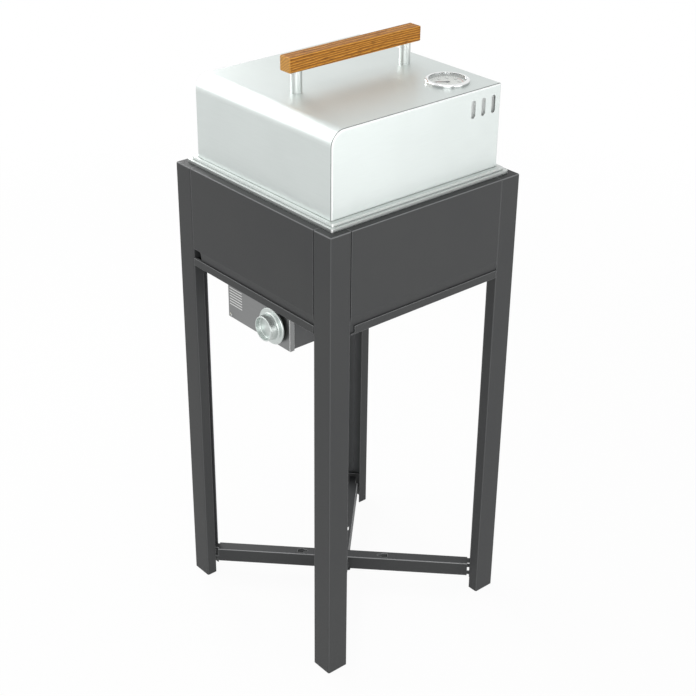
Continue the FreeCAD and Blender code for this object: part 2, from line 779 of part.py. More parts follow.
def brace_screws_shape():
    """Screws at the four bar ends and the long one through the crossing."""
    cleat_at = brace_reach()
    screws = []
    grip = BAR_SHEET + CLEAT_SHEET
    for quarters in (0, 1):
        for way in (-1, 1):
            start = V(way * (cleat_at - BAR_SHEET), 0, tab_screw_z())
            screws.append(place_bar(sheet_screw(start, X_AXIS * way, grip), quarters))
    down = V(0, 0, -1)
    screws.append(sheet_screw(V(0, 0, BAR_TOP), down, BAR_HEIGHT + BAR_SHEET))
    return Part.makeCompound(screws)


def brace_plate_shape():
    """Square plate under the crossing that the long screw clamps."""
    half = CROSS_PLATE / 2
    plate = rounded_slab(half, half, CROSS_PLATE_CORNER, BAR_BOTTOM - BAR_SHEET, BAR_BOTTOM)
    hole = rod(V(0, 0, BAR_BOTTOM - BAR_SHEET - 1), Z_AXIS, SCREW_R + HOLE_CLEAR, BAR_SHEET + 2)
    return place_bar(plate.cut(hole), 0)


def grill_rim_shape():
    """Stepped sheet frame that rests on the top flanges and carries the tub and the hood."""
    t = RIM_SHEET
    low_w, low_d = RIM_HALF_W, RIM_HALF_D
    high_w, high_d = low_w - RIM_STEP_WIDTH, low_d - RIM_STEP_WIDTH
    up_w, up_d = UPSTAND_HALF_W, UPSTAND_HALF_D
    top = RIM_TOP_Z + RIM_UPSTAND
    solid = union([
        rounded_slab(low_w, low_d, RIM_CORNER, STAND_HEIGHT, RIM_LOW_Z),
        rounded_slab(high_w, high_d, RIM_CORNER, RIM_LOW_Z - t, RIM_TOP_Z),
        rounded_slab(up_w, up_d, RIM_CORNER, RIM_TOP_Z - t, top),
    ])
    hollow = [
        rounded_slab(low_w - t, low_d - t, RIM_CORNER - t, STAND_HEIGHT + t, RIM_LOW_Z - t),
        rounded_slab(low_w - RIM_FOOT, low_d - RIM_FOOT, RIM_CORNER, STAND_HEIGHT - 1, STAND_HEIGHT + 2 * t),
        rounded_slab(high_w - t, high_d - t, RIM_CORNER - t, STAND_HEIGHT + t, RIM_TOP_Z - t),
        rounded_slab(up_w - t, up_d - t, RIM_CORNER - t, STAND_HEIGHT - 1, top + 1),
    ]
    for cutter in hollow:
        solid = solid.cut(cutter)
    return solid


def firebox_shape():
    """Drawn tub: upper band against the rim, ledge for the grate, deep lower part."""
    t = TUB_SHEET
    floor_z = TUB_Z

    def foot(p):
        return near(p.z, floor_z)

    lower = rounded_slab(TUB_LOW_HALF_W, TUB_LOW_HALF_D, TUB_CORNER, TUB_Z, LEDGE_Z)
    lower = round_edges(lower, TUB_FLOOR_ROUND, foot)
    upper = rounded_slab(TUB_HALF_W, TUB_HALF_D, RIM_CORNER - RIM_SHEET, LEDGE_Z - t, TUB_TOP_Z)
    solid = union([lower, upper])
    floor_z = TUB_FLOOR_Z
    inner = rounded_slab(TUB_LOW_HALF_W - t, TUB_LOW_HALF_D - t, TUB_CORNER - t, TUB_FLOOR_Z, TUB_TOP_Z + 1)
    inner = round_edges(inner, TUB_FLOOR_ROUND - t, foot)
    band = rounded_slab(TUB_HALF_W - t, TUB_HALF_D - t, RIM_CORNER - RIM_SHEET - t, LEDGE_Z, TUB_TOP_Z + 1)
    tub = solid.cut(inner).cut(band)
    burner_hole = rod(V(0, -TUB_LOW_HALF_D - 1, BURNER_Z), Y_AXIS, BURNER_R + HOLE_CLEAR, TUB_SHEET + 2)
    drain = slot_cutter(V(0, TRAY_OFFSET, TUB_Z + t / 2), X_AXIS, Z_AXIS, DRAIN_LENGTH, DRAIN_WIDTH, t + 2)
    spark = rod(V(ELECTRODE_OFFSET, electrode_y(), TUB_Z - 1), Z_AXIS, ELECTRODE_R + HOLE_CLEAR, t + 2)
    for cutter in [burner_hole, drain, spark]:
        tub = tub.cut(cutter)
    for row in (-1, 1):
        for k in range(TUB_SLOT_COUNT):
            y = (k - (TUB_SLOT_COUNT - 1) / 2) * TUB_SLOT_PITCH
            centre = V(row * TUB_LOW_HALF_W / 2, y, TUB_Z + t / 2)
            tub = tub.cut(slot_cutter(centre, Y_AXIS, Z_AXIS, TUB_SLOT_LENGTH, TUB_SLOT_WIDTH, t + 2))
    return tub


def electrode_y():
    """Place of the ignition electrode along the burner."""
    return -TUB_LOW_HALF_D / 2


def cooking_grate_shape():
    """Round rods across two cross rods, welded where they touch, lying on the tub's ledge."""
    cross_half = TUB_LOW_HALF_W - TUB_SHEET - GRATE_CLEAR
    half_y = TUB_HALF_D - TUB_SHEET - GRATE_CLEAR
    count = int((cross_half - ROD_R) // ROD_PITCH)
    rods = []
    for k in range(-count, count + 1):
        rods.append(rod(V(k * ROD_PITCH, -half_y, LEDGE_Z + ROD_R), Y_AXIS, ROD_R, 2 * half_y))
    for way in (-1, 1):
        start = V(-cross_half, way * CROSS_ROD_PITCH / 2, LEDGE_Z - CROSS_ROD_R)
        rods.append(rod(start, X_AXIS, CROSS_ROD_R, 2 * cross_half))
    return Part.makeCompound(rods)


def flame_tamer_shape():
    """Roof-shaped plate over the burner, with a row of slots in each slope."""
    half_y = TUB_LOW_HALF_D - TUB_SHEET - TAMER_CLEAR
    half = TAMER_WIDTH / 2
    foot = TAMER_Z + TAMER_SHEET / 2
    path = [(-half, foot), (0, TAMER_Z + TAMER_RISE), (half, foot)]
    plate = folded(path, TAMER_SHEET, TAMER_BEND, -half_y, half_y)
    plate.rotate(CENTRE, Z_AXIS, 90)
    below = block(-2 * half, 2 * half, -half_y - 1, half_y + 1, TAMER_Z - TAMER_RISE, TAMER_Z)
    plate = plate.cut(below)
    pitch = 2 * half_y / TAMER_SLOTS
    for way in (-1, 1):
        for k in range(TAMER_SLOTS):
            y = -half_y + pitch * (k + 0.5)
            middle = V(way * half / 2, y, TAMER_Z + TAMER_RISE / 2)
            slot = slot_cutter(middle, Y_AXIS, Z_AXIS, TAMER_SLOT_LENGTH, TAMER_SLOT_WIDTH, 2 * TAMER_RISE)
            plate = plate.cut(slot)
    return plate


def tamer_brackets_shape():
    """Two angle strips on the tub's front and back walls that carry the flame tamer."""
    wall = TUB_LOW_HALF_D - TUB_SHEET
    mid = BRACKET_SHEET / 2
    path = [(-wall + mid, TAMER_Z - BRACKET_LEG), (-wall + mid, TAMER_Z - mid)]
    path.append((-wall + BRACKET_LEG, TAMER_Z - mid))
    strip = folded(path, BRACKET_SHEET, SHEET_BEND, -BRACKET_WIDTH / 2, BRACKET_WIDTH / 2)
    return Part.makeCompound([strip, turned(strip, 2)])


def burner_front_y():
    """Mouth of the burner tube, inside the jet cup."""
    return JET_Y + JET_BLOCK / 2 + CUP_WALL + AIR_GAP


def burner_back_y():
    """Closed end of the burner tube."""
    return TUB_LOW_HALF_D - TUB_SHEET - BURNER_BACK_GAP


def burner_tube_shape():
    """Closed tube with two rows of flame ports, open at the front, with a stud at the back."""
    front = burner_front_y()
    back = burner_back_y()
    start = V(0, front, BURNER_Z)
    tube = rod(start, Y_AXIS, BURNER_R, back - front)
    tube = tube.cut(rod(start - Y_AXIS, Y_AXIS, BURNER_R - BURNER_WALL, back - front + 1 - BURNER_WALL))
    stud = rod(V(0, back - BURNER_WALL, BURNER_Z), Y_AXIS, BURNER_STUD_R, BURNER_STUD_L + BURNER_WALL)
    tube = union([tube, stud])
    inside = -TUB_LOW_HALF_D + PORT_FROM_FRONT
    count = int((back - inside - PORT_FROM_BACK) // PORT_PITCH)
    angle = math.radians(PORT_ANGLE)
    cutters = []
    for way in (-1, 1):
        axis = V(way * math.sin(angle), 0, math.cos(angle))
        for k in range(count):
            y = inside + PORT_PITCH * (k + 0.5)
            start = V(0, y, BURNER_Z) + axis * (BURNER_R - 2 * BURNER_WALL)
            cutters.append(rod(start, axis, PORT_R, 4 * BURNER_WALL))
    return tube.cut(Part.makeCompound(cutters))


def burner_bracket_shape():
    """Folded bracket on the tub's back wall with a hole for the burner's stud."""
    wall = TUB_LOW_HALF_D - TUB_SHEET
    mid = BRACKET_SHEET / 2
    half = BURNER_BRACKET_WIDTH / 2
    face = burner_back_y() + BURNER_BRACKET_GAP
    low = BURNER_Z - BURNER_BRACKET_DROP
    path = [(face + mid, BURNER_Z + BURNER_BRACKET_RISE), (face + mid, low), (wall - mid, low)]
    path.append((wall - mid, low + BURNER_BRACKET_FOOT))
    bracket = folded(path, BRACKET_SHEET, SHEET_BEND, -half, half)
    return bracket.cut(rod(V(0, face - 1, BURNER_Z), Y_AXIS, BURNER_STUD_R + FIT_CLEAR, BRACKET_SHEET + 2))


def jet_cup_shape():
    """Cup over the mouth of the burner: end wall for the jet, two air windows in its side."""
    end_y = JET_Y + JET_BLOCK / 2
    outer_r = BURNER_R + FIT_CLEAR + CUP_WALL
    start = V(0, end_y, BURNER_Z)
    length = -TUB_LOW_HALF_D - end_y
    cup = rod(start, Y_AXIS, outer_r, length)
    cup = cup.cut(rod(start + Y_AXIS * CUP_WALL, Y_AXIS, BURNER_R + FIT_CLEAR, length))
    cup = cup.cut(rod(start - Y_AXIS, Y_AXIS, NOZZLE_R + FIT_CLEAR, CUP_WALL + 2))
    half = AIR_WINDOW_HEIGHT / 2
    front = end_y + CUP_WALL
    window = block(-outer_r - 1, outer_r + 1, front, front + AIR_WINDOW_LENGTH,
                   BURNER_Z - half, BURNER_Z + half)
    return cup.cut(window)


def gas_jet_shape():
    """Brass block with the nozzle that blows into the burner's mouth."""
    half = JET_BLOCK / 2
    body = block(-half, half, JET_Y - half, JET_Y + half, BURNER_Z - half, BURNER_Z + half)
    nozzle = rod(V(0, JET_Y, BURNER_Z), Y_AXIS, NOZZLE_R, half + NOZZLE_LENGTH)
    jet = union([body, nozzle])
    jet = jet.cut(rod(V(0, JET_Y, BURNER_Z), Y_AXIS, JET_BORE_R, half + NOZZLE_LENGTH + 1))
    return jet.cut(rod(V(half - PIPE_BITE, JET_Y, BURNER_Z), X_AXIS, PIPE_R, PIPE_BITE + 1))


def gas_pipe_shape():
    """Bent pipe from the valve's outlet up to the jet block."""
    x = VALVE_X
    low = VALVE_Z + VALVE_R - PIPE_STEP
    bend_z = BURNER_Z - PIPE_BEND
    upright = rod(V(x, JET_Y, low), Z_AXIS, PIPE_R, bend_z - low)
    circle = Part.Wire(Part.Circle(V(x, JET_Y, bend_z), Z_AXIS, PIPE_R).toShape())
    elbow = Part.Face(circle).revolve(V(x - PIPE_BEND, JET_Y, bend_z), Y_AXIS, -90)
    inner_end = JET_BLOCK / 2 - PIPE_BITE
    level = rod(V(inner_end, JET_Y, BURNER_Z), X_AXIS, PIPE_R, x - PIPE_BEND - inner_end)
    return union([upright, elbow, level])


def igniter_electrode_shape():
    """Ceramic post with a collar on the tub's floor and a thin wire tip beside the burner."""
    place = V(ELECTRODE_OFFSET, electrode_y(), 0)
    foot = place + V(0, 0, TUB_Z - ELECTRODE_BELOW)
    post = rod(foot, Z_AXIS, ELECTRODE_R, ELECTRODE_HEIGHT + ELECTRODE_BELOW)
    collar = rod(place + V(0, 0, TUB_FLOOR_Z), Z_AXIS, ELECTRODE_COLLAR_R, ELECTRODE_COLLAR_T)
    tip = rod(place + V(0, 0, TUB_Z + ELECTRODE_HEIGHT), Z_AXIS, ELECTRODE_TIP_R, ELECTRODE_TIP)
    return union([post, collar, tip])


def drip_tray_shape():
    """Shallow tray on the floor pan under the tub's drain."""
    half_x = TRAY_WIDTH / 2
    half_y = TRAY_DEPTH / 2
    t = TRAY_SHEET
    top = PAN_FLOOR_Z + TRAY_HEIGHT
    tray = rounded_slab(half_x, half_y, TRAY_CORNER, PAN_FLOOR_Z, top)
    tray = tray.cut(rounded_slab(half_x - t, half_y - t, TRAY_CORNER - t, PAN_FLOOR_Z + t, top + 1))
    tray.translate(V(0, TRAY_OFFSET, 0))
    return tray


def box_screw_places():
    """Where the control box's flanges are screwed to the floor pan."""
    x = BOX_WIDTH / 2 - BOX_FLANGE / 2
    front = BOX_FRONT_Y + BOX_SCREW_INSET
    back = BOX_BACK_Y - BOX_SCREW_INSET
    return [(-x, front), (x, front), (-x, back), (x, back)]


def control_box_shape():
    """Folded housing, open at the top and front, with inward flanges and a screw lug."""
    half = BOX_WIDTH / 2
    t = BOX_SHEET
    box = block(-half, half, BOX_FRONT_Y, BOX_BACK_Y, BOX_Z, PAN_Z)
    box = round_edges(box, BOX_ROUND, lambda p: near(p.z, BOX_Z) and near(abs(p.x), half))
    box = box.cut(block(-half + t, half - t, BOX_FRONT_Y - 1, BOX_BACK_Y - t, BOX_Z + t, PAN_Z - t))
    mouth = half - BOX_FLANGE
    box = box.cut(block(-mouth, mouth, BOX_FRONT_Y - 1, BOX_BACK_Y - BOX_FLANGE, PAN_Z - t - 1, PAN_Z + 1))
    lug = block(-half + t / 2, -half + BOX_LUG, BOX_FRONT_Y, BOX_FRONT_Y + t, BOX_Z + t / 2, BOX_Z + BOX_LUG)
    box = union([box, lug])
    for x, y in box_screw_places():
        box = box.cut(rod(V(x, y, PAN_Z - t - 1), Z_AXIS, SCREW_R + HOLE_CLEAR, t + 2))
    box = box.cut(rod(panel_screw_place() - Y_AXIS, Y_AXIS, PANEL_SCREW_R + HOLE_CLEAR, PANEL_SHEET + t + 2))
    return box.cut(rod(V(VALVE_X, BOX_BACK_Y - t - 1, VALVE_Z), Y_AXIS, INLET_THREAD_R + HOLE_CLEAR, t + 2))


def panel_screw_place():
    """Point on the panel's front where its screw sits."""
    left = -panel_half()
    return V(left + PANEL_SCREW_X, PANEL_Y, panel_z() + PANEL_SCREW_Z)


def panel_half():
    """Half width of the face plate."""
    return BOX_WIDTH / 2 + PANEL_GAP + PANEL_SHEET


def panel_z():
    """Lower edge of the face plate."""
    return BOX_Z - PANEL_GAP - PANEL_SHEET


def control_panel_shape():
    """Face plate folded round the front of the control box."""
    half = panel_half()
    top = PAN_Z
    back = PANEL_Y + PANEL_RETURN
    plate = block(-half, half, PANEL_Y, back, panel_z(), top)

    def front_edge(p):
        side = near(abs(p.x), half) or near(p.z, panel_z())
        return near(p.y, PANEL_Y) and side

    plate = round_edges(plate, PANEL_EDGE, front_edge)
    t = PANEL_SHEET
    plate = plate.cut(block(-half + t, half - t, BOX_FRONT_Y, back + 1, panel_z() + t, top + 1))
    plate = plate.cut(rod(V(VALVE_X, PANEL_Y - 1, VALVE_Z), Y_AXIS, STEM_R + STEM_HOLE_CLEAR, t + 2))
    for way in (-1, 1):
        x = VALVE_X + way * VALVE_SCREW_PITCH / 2
        plate = plate.cut(rod(V(x, PANEL_Y - 1, VALVE_Z), Y_AXIS, PANEL_SCREW_R + HOLE_CLEAR, t + 2))
    return plate.cut(rod(panel_screw_place() - Y_AXIS, Y_AXIS, PANEL_SCREW_R + HOLE_CLEAR, t + 2))


def pan_head_screw(place, length):
    """Pan head screw on the panel, with its shank towards +Y."""
    head = rod(place - Y_AXIS * PANEL_SCREW_HEAD_H, Y_AXIS, PANEL_SCREW_HEAD_R, PANEL_SCREW_HEAD_H)
    head = round_edges(head, PANEL_SCREW_ROUND, lambda p: near(p.y, place.y - PANEL_SCREW_HEAD_H))
    mouth = place - Y_AXIS * (PANEL_SCREW_HEAD_H + 1)
    socket = hexagon(mouth, Y_AXIS, PANEL_SOCKET_R, PANEL_SOCKET_DEPTH + 1)
    shank = rod(place - Y_AXIS * 0.5, Y_AXIS, PANEL_SCREW_R, length + 0.5)
    return union([head, shank]).cut(socket)


def valve_screws_shape():
    """Two screws that hold the valve to the panel, behind the knob's skirt."""
    screws = []
    for way in (-1, 1):
        place = V(VALVE_X + way * VALVE_SCREW_PITCH / 2, PANEL_Y, VALVE_Z)
        screws.append(pan_head_screw(place, PANEL_SHEET + VALVE_FLANGE_T + VALVE_SCREW_END))
    return Part.makeCompound(screws)


def box_screws_shape():
    """Four screws through the control box's flanges and the floor pan."""
    grip = BOX_SHEET + PAN_SHEET
    screws = []
    for x, y in box_screw_places():
        screws.append(sheet_screw(V(x, y, PAN_Z - BOX_SHEET), Z_AXIS, grip))
    return Part.makeCompound(screws)


def valve_centre(y):
    """Point on the valve's axis."""
    return V(VALVE_X, y, VALVE_Z)


def gas_valve_shape():
    """Brass body with a mounting flange, tapered bore for the plug and boss for the pipe."""
    flange = block(-VALVE_FLANGE_W / 2, VALVE_FLANGE_W / 2, 0, VALVE_FLANGE_T,
                   -VALVE_FLANGE_H / 2, VALVE_FLANGE_H / 2)
    flange = round_edges(flange, VALVE_FLANGE_ROUND, lambda p: near(p.y, VALVE_FLANGE_T / 2))
    flange.translate(valve_centre(VALVE_FRONT_Y))
    barrel = rod(valve_centre(VALVE_FRONT_Y + VALVE_FLANGE_T), Y_AXIS, VALVE_R, VALVE_LENGTH)
    outlet = V(VALVE_X, JET_Y, VALVE_Z)
    boss = rod(outlet, Z_AXIS, PIPE_R + VALVE_BOSS_WALL, VALVE_R + VALVE_BOSS_RISE)
    valve = union([flange, barrel, boss])
    chamber = PLUG_LENGTH + 2 * FIT_CLEAR
    plug_bore = [(0, 0), (PLUG_R_FRONT + FIT_CLEAR, 0), (PLUG_R_BACK + FIT_CLEAR, chamber), (0, chamber)]
    valve = valve.cut(revolved(plug_bore, valve_centre(PLUG_Y - FIT_CLEAR), True))
    valve = valve.cut(rod(valve_centre(VALVE_FRONT_Y - 1), Y_AXIS, STEM_R + FIT_CLEAR, VALVE_NECK + 1))
    valve = valve.cut(rod(valve_centre(PLUG_Y), Y_AXIS, INLET_BORE_R, VALVE_BACK_Y - PLUG_Y + 1))
    valve = valve.cut(rod(outlet + V(0, 0, VALVE_R - PIPE_STEP), Z_AXIS, PIPE_R, 2 * VALVE_BOSS_RISE))
    for way in (-1, 1):
        x = VALVE_X + way * VALVE_SCREW_PITCH / 2
        place = V(x, VALVE_FRONT_Y - 1, VALVE_Z)
        valve = valve.cut(rod(place, Y_AXIS, PANEL_SCREW_R + HOLE_CLEAR, VALVE_FLANGE_T + 2))
        relief = V(x, VALVE_FRONT_Y + VALVE_FLANGE_T, VALVE_Z)
        valve = valve.cut(rod(relief, Y_AXIS, PANEL_SCREW_R + 1, VALVE_SCREW_END + 1))
    return valve


def valve_plug_shape():
    """Tapered plug with a counterbore and a slot that takes the stem's tang."""
    taper = [(0, 0), (PLUG_R_FRONT, 0), (PLUG_R_BACK, PLUG_LENGTH), (0, PLUG_LENGTH)]
    plug = revolved(taper, valve_centre(PLUG_Y), True)
    recess = KNOB_TRAVEL + 1.0
    plug = plug.cut(rod(valve_centre(PLUG_Y - 1), Y_AXIS, STEM_R + FIT_CLEAR, recess + 1))
    slot_end = STEM_TANG_L + KNOB_TRAVEL + STEM_END_CLEAR
    half_t = STEM_TANG_T / 2 + FIT_CLEAR
    half_w = STEM_R + FIT_CLEAR
    slot = block(-half_w, half_w, 0, slot_end, -half_t, half_t)
    slot.translate(valve_centre(PLUG_Y))
    return plug.cut(slot)


def valve_stem_shape():
    """Round stem with a flat tang at the plug and a D end in the knob."""
    front = KNOB_BACK_Y - STEM_IN_KNOB
    stem = rod(valve_centre(front), Y_AXIS, STEM_R, PLUG_Y - front)
    tang = rod(valve_centre(PLUG_Y - 1), Y_AXIS, STEM_R - STEM_TANG_CLEAR, STEM_TANG_L + 1)
    keep = block(-STEM_R, STEM_R, -1, STEM_TANG_L + 1, -STEM_TANG_T / 2, STEM_TANG_T / 2)
    keep.translate(valve_centre(PLUG_Y))
    stem = union([stem, tang.common(keep)])
    return stem.cut(stem_flat(0.0))


def stem_flat(slack):
    """Cutter for the flat of the D end, as long as the knob's bore."""
    low = STEM_R - STEM_FLAT + slack
    flat = block(-STEM_R - 1, STEM_R + 1, -STEM_IN_KNOB - 1, 0, low, STEM_R + 2)
    flat.translate(valve_centre(KNOB_BACK_Y))
    return flat


def knob_profile():
    """Outline of the knob as (radius, distance in front of its back) edges, turned later."""
    cap_foot = KNOB_SKIRT_T + KNOB_FLARE
    top = KNOB_HEIGHT
    rim = KNOB_CAP_TOP_R - KNOB_ROUND
    wall = KNOB_WALL
    floor = top - KNOB_DISH
    points = [
        (0, floor),
        (dish_floor_r() - KNOB_DISH_FILLET, floor),
        (dish_floor_r(), floor + KNOB_DISH_FILLET),
        (KNOB_CAP_TOP_R - KNOB_RIM, top),
        (rim, top),
    ]
    s = math.sqrt(0.5)
    round_mid = (rim + KNOB_ROUND * s, top - KNOB_ROUND + KNOB_ROUND * s)
    edges = line_chain(points)
    edges.append(arc3(points[-1], round_mid, (KNOB_CAP_TOP_R, top - KNOB_ROUND)))
    edges += line_chain([(KNOB_CAP_TOP_R, top - KNOB_ROUND), (KNOB_CAP_R, cap_foot)])
    flare = KNOB_FLARE
    flare_mid = (KNOB_CAP_R + flare * (1 - s), KNOB_SKIRT_T + flare * (1 - s))
    edges.append(arc3((KNOB_CAP_R, cap_foot), flare_mid, (KNOB_CAP_R + flare, KNOB_SKIRT_T)))
    lip = KNOB_SKIRT_T / 2
    edges += line_chain([(KNOB_CAP_R + flare, KNOB_SKIRT_T), (KNOB_SKIRT_R - lip, KNOB_SKIRT_T)])
    edges.append(arc3((KNOB_SKIRT_R - lip, KNOB_SKIRT_T), (KNOB_SKIRT_R, lip), (KNOB_SKIRT_R - lip, 0)))
    hollow = floor - wall
    edges += line_chain([
        (KNOB_SKIRT_R - lip, 0),
        (KNOB_SKIRT_R - lip - wall, 0),
        (KNOB_SKIRT_R - lip - wall, KNOB_SKIRT_T - wall),
        (KNOB_CAP_R - wall, KNOB_SKIRT_T - wall + 1.0),
        (KNOB_CAP_TOP_R - wall - 1.0, hollow - 1.0),
        (KNOB_HUB_R, hollow),
        (KNOB_HUB_R, 0),
        (0, 0),
        (0, floor),
    ])
    return edges


def dish_floor_r():
    """Radius at the foot of the dish's wall."""
    return KNOB_CAP_TOP_R - KNOB_RIM - KNOB_DISH_DRAFT


def knob_point(pair):
    """Point of the knob's outline in space, on the valve's axis."""
    return V(VALVE_X + pair[0], KNOB_BACK_Y - pair[1], VALVE_Z)


def line_chain(points):
    """Straight edges of the knob's outline."""
    return [Part.LineSegment(knob_point(a), knob_point(b)).toShape() for a, b in zip(points, points[1:])]


def arc3(a, b, c):
    """Round edge of the knob's outline through three points."""
    return Part.Arc(knob_point(a), knob_point(b), knob_point(c)).toShape()


def knob_shape():
    """Turned knob: wide skirt, waisted cap with a deep dish, D bore and pointer groove."""
    face = Part.Face(Part.Wire(knob_profile()))
    knob = face.revolve(valve_centre(KNOB_BACK_Y), Y_AXIS, 360)
    start = valve_centre(KNOB_BACK_Y + 1)
    bore = rod(start, V(0, -1, 0), STEM_R + KNOB_FIT, STEM_IN_KNOB + KNOB_FIT + 1)
    bore = bore.cut(stem_flat(KNOB_FIT))
    knob = knob.cut(bore)
    floor = KNOB_FRONT_Y + KNOB_DISH + MARK_DEPTH
    mark = block(-MARK_WIDTH / 2, MARK_WIDTH / 2, KNOB_FRONT_Y - 1, floor,
                 MARK_START, dish_floor_r() - KNOB_DISH_FILLET)
    mark.translate(V(VALVE_X, 0, VALVE_Z))
    return knob.cut(mark)


def gas_inlet_shape():
    """Inlet tube from the valve through the box's back, with two hexagons and an outside thread."""
    nut_outside = BOX_BACK_Y + INLET_HEX_T
    wall_y = BOX_BACK_Y - BOX_SHEET
    tube = rod(valve_centre(VALVE_BACK_Y), Y_AXIS, INLET_THREAD_R - 1, wall_y - VALVE_BACK_Y)
    inner_hex = hexagon(valve_centre(BOX_BACK_Y - BOX_SHEET - INLET_HEX_T), Y_AXIS, INLET_HEX_R, INLET_HEX_T)
    neck = rod(valve_centre(BOX_BACK_Y - BOX_SHEET - 1), Y_AXIS, INLET_THREAD_R, BOX_SHEET + 2)
    outer_hex = hexagon(valve_centre(BOX_BACK_Y), Y_AXIS, INLET_HEX_R, INLET_HEX_T)
    thread = rod(valve_centre(nut_outside - 1), Y_AXIS, INLET_THREAD_R, INLET_THREAD_L + 1)
    inlet = union([tube, inner_hex, neck, outer_hex, thread])
    length = nut_outside + INLET_THREAD_L - VALVE_BACK_Y
    return inlet.cut(rod(valve_centre(VALVE_BACK_Y - 1), Y_AXIS, INLET_BORE_R, length + 2))


def hood_profile(inset, extra):
    """Side outline of the hood as a closed wire in the YZ plane, inset all round but at the foot."""
    y0 = -HOOD_DEPTH / 2 + inset
    y1 = HOOD_DEPTH / 2 - inset
    top = HOOD_TOP_Z - inset
    low = HOOD_Z - extra
    front_r = HOOD_FRONT_ROUND - inset
    back_r = HOOD_BACK_ROUND - inset
    s = math.sqrt(0.5)
    front_hub = V(0, y0 + front_r, top - front_r)
    back_hub = V(0, y1 - back_r, top - back_r)
    start = V(0, y0, low)
    front_low = V(0, y0, top - front_r)
    front_top = V(0, y0 + front_r, top)
    back_top = V(0, y1 - back_r, top)
    back_low = V(0, y1, top - back_r)
    end = V(0, y1, low)
    edges = [
        Part.LineSegment(start, front_low).toShape(),
        Part.Arc(front_low, front_hub + V(0, -front_r * s, front_r * s), front_top).toShape(),
        Part.LineSegment(front_top, back_top).toShape(),
        Part.Arc(back_top, back_hub + V(0, back_r * s, back_r * s), back_low).toShape(),
        Part.LineSegment(back_low, end).toShape(),
        Part.LineSegment(end, start).toShape(),
    ]
    return Part.Wire(edges)


def hood_slab(inset, extra, x0, x1):
    """Solid with the hood's side outline between two X planes."""
    slab = Part.Face(hood_profile(inset, extra)).extrude(V(x1 - x0, 0, 0))
    slab.translate(V(x0, 0, 0))
    return slab


def hood_shell_shape():
    """Sheet wrapped over the front, top and back, with holes for the handle and the thermometer."""
    half = HOOD_WIDTH / 2 - HOOD_SIDE_ROUND - HOOD_SEAM
    shell = hood_slab(0, 0, -half, half).cut(hood_slab(HOOD_SHEET, 1, -half - 1, half + 1))
    for y in post_places():
        shell = shell.cut(rod(V(0, y, HOOD_UNDER_Z - 1), Z_AXIS, POST_SCREW_R + HOLE_CLEAR, HOOD_SHEET + 2))
    gauge = rod(gauge_centre(HOOD_UNDER_Z - 1), Z_AXIS, gauge_body_r() + HOLE_CLEAR, HOOD_SHEET + 2)
    return shell.cut(gauge)


def hood_side_shape(way, vented):
    """Side panel as a shallow tray with flanges under the wrapped sheet, and a deflector at its vents."""
    half = HOOD_WIDTH / 2
    tray = hood_slab(HOOD_SHEET, 0, half - HOOD_SIDE_FLANGE, half)
    foot = HOOD_Z

    def outer_edge(p):
        return near(p.x, half) and not near(p.z, foot)

    tray = round_edges(tray, HOOD_SIDE_ROUND, outer_edge)
    tray = tray.cut(hood_slab(2 * HOOD_SHEET, 1, half - HOOD_SIDE_FLANGE - 1, half - HOOD_SHEET))
    if vented:
        for k in range(VENT_COUNT):
            y = HOOD_DEPTH / 2 - VENT_FROM_BACK - VENT_PITCH * k
            centre = V(half - HOOD_SHEET / 2, y, HOOD_TOP_Z - VENT_FROM_TOP)
            tray = tray.cut(slot_cutter(centre, Z_AXIS, X_AXIS, VENT_HEIGHT, VENT_WIDTH, HOOD_SHEET + 2))
        tray = union([tray, vent_deflector()])
    if way < 0:
        tray = tray.mirror(CENTRE, X_AXIS)
    return tray


def vent_deflector():
    """Bent strip welded inside the side panel above its vents and hanging behind them."""
    wall = HOOD_WIDTH / 2 - HOOD_SHEET
    middle = HOOD_TOP_Z - VENT_FROM_TOP
    top = middle + VENT_HEIGHT / 2 + DEFLECTOR_LAP
    foot = middle - (VENT_HEIGHT + DEFLECTOR_LAP) / 2
    back = HOOD_DEPTH / 2 - VENT_FROM_BACK + DEFLECTOR_LAP
    front = back - VENT_PITCH * (VENT_COUNT - 1) - 2 * DEFLECTOR_LAP
    inner = wall - DEFLECTOR_GAP
    bend = top - DEFLECTOR_WELD
    line = [(wall, top), (wall, bend), (inner, bend - DEFLECTOR_GAP), (inner, foot)]
    line += [(x - DEFLECTOR_SHEET, z) for x, z in reversed(line)]
    outline = [V(x, front, z) for x, z in line + line[:1]]
    return Part.Face(Part.makePolygon(outline)).extrude(V(0, back - front, 0))


def post_places():
    """Y of the two handle posts."""
    return [HANDLE_SHIFT - POST_PITCH / 2, HANDLE_SHIFT + POST_PITCH / 2]


def handle_posts_shape():
    """Two round bored posts between the hood and the wooden bar."""
    posts = []
    for y in post_places():
        post = rod(V(0, y, HOOD_TOP_Z), Z_AXIS, POST_R, POST_HEIGHT)
        bore = rod(V(0, y, HOOD_TOP_Z - 1), Z_AXIS, POST_SCREW_R + HOLE_CLEAR, POST_HEIGHT + 2)
        posts.append(post.cut(bore))
    return Part.makeCompound(posts)


def handle_bar_shape():
    """Wooden bar with softened edges and two blind holes from below."""
    half_w = HANDLE_WIDTH / 2
    y0 = HANDLE_SHIFT - HANDLE_LENGTH / 2
    bar = block(-half_w, half_w, y0, y0 + HANDLE_LENGTH, HANDLE_Z, HANDLE_Z + HANDLE_HEIGHT)
    bar = bar.makeFillet(HANDLE_EDGE, bar.Edges)
    for y in post_places():
        bar = bar.cut(rod(V(0, y, HANDLE_Z - 1), Z_AXIS, POST_SCREW_R + FIT_CLEAR, POST_SCREW_BITE + 2))
    return bar


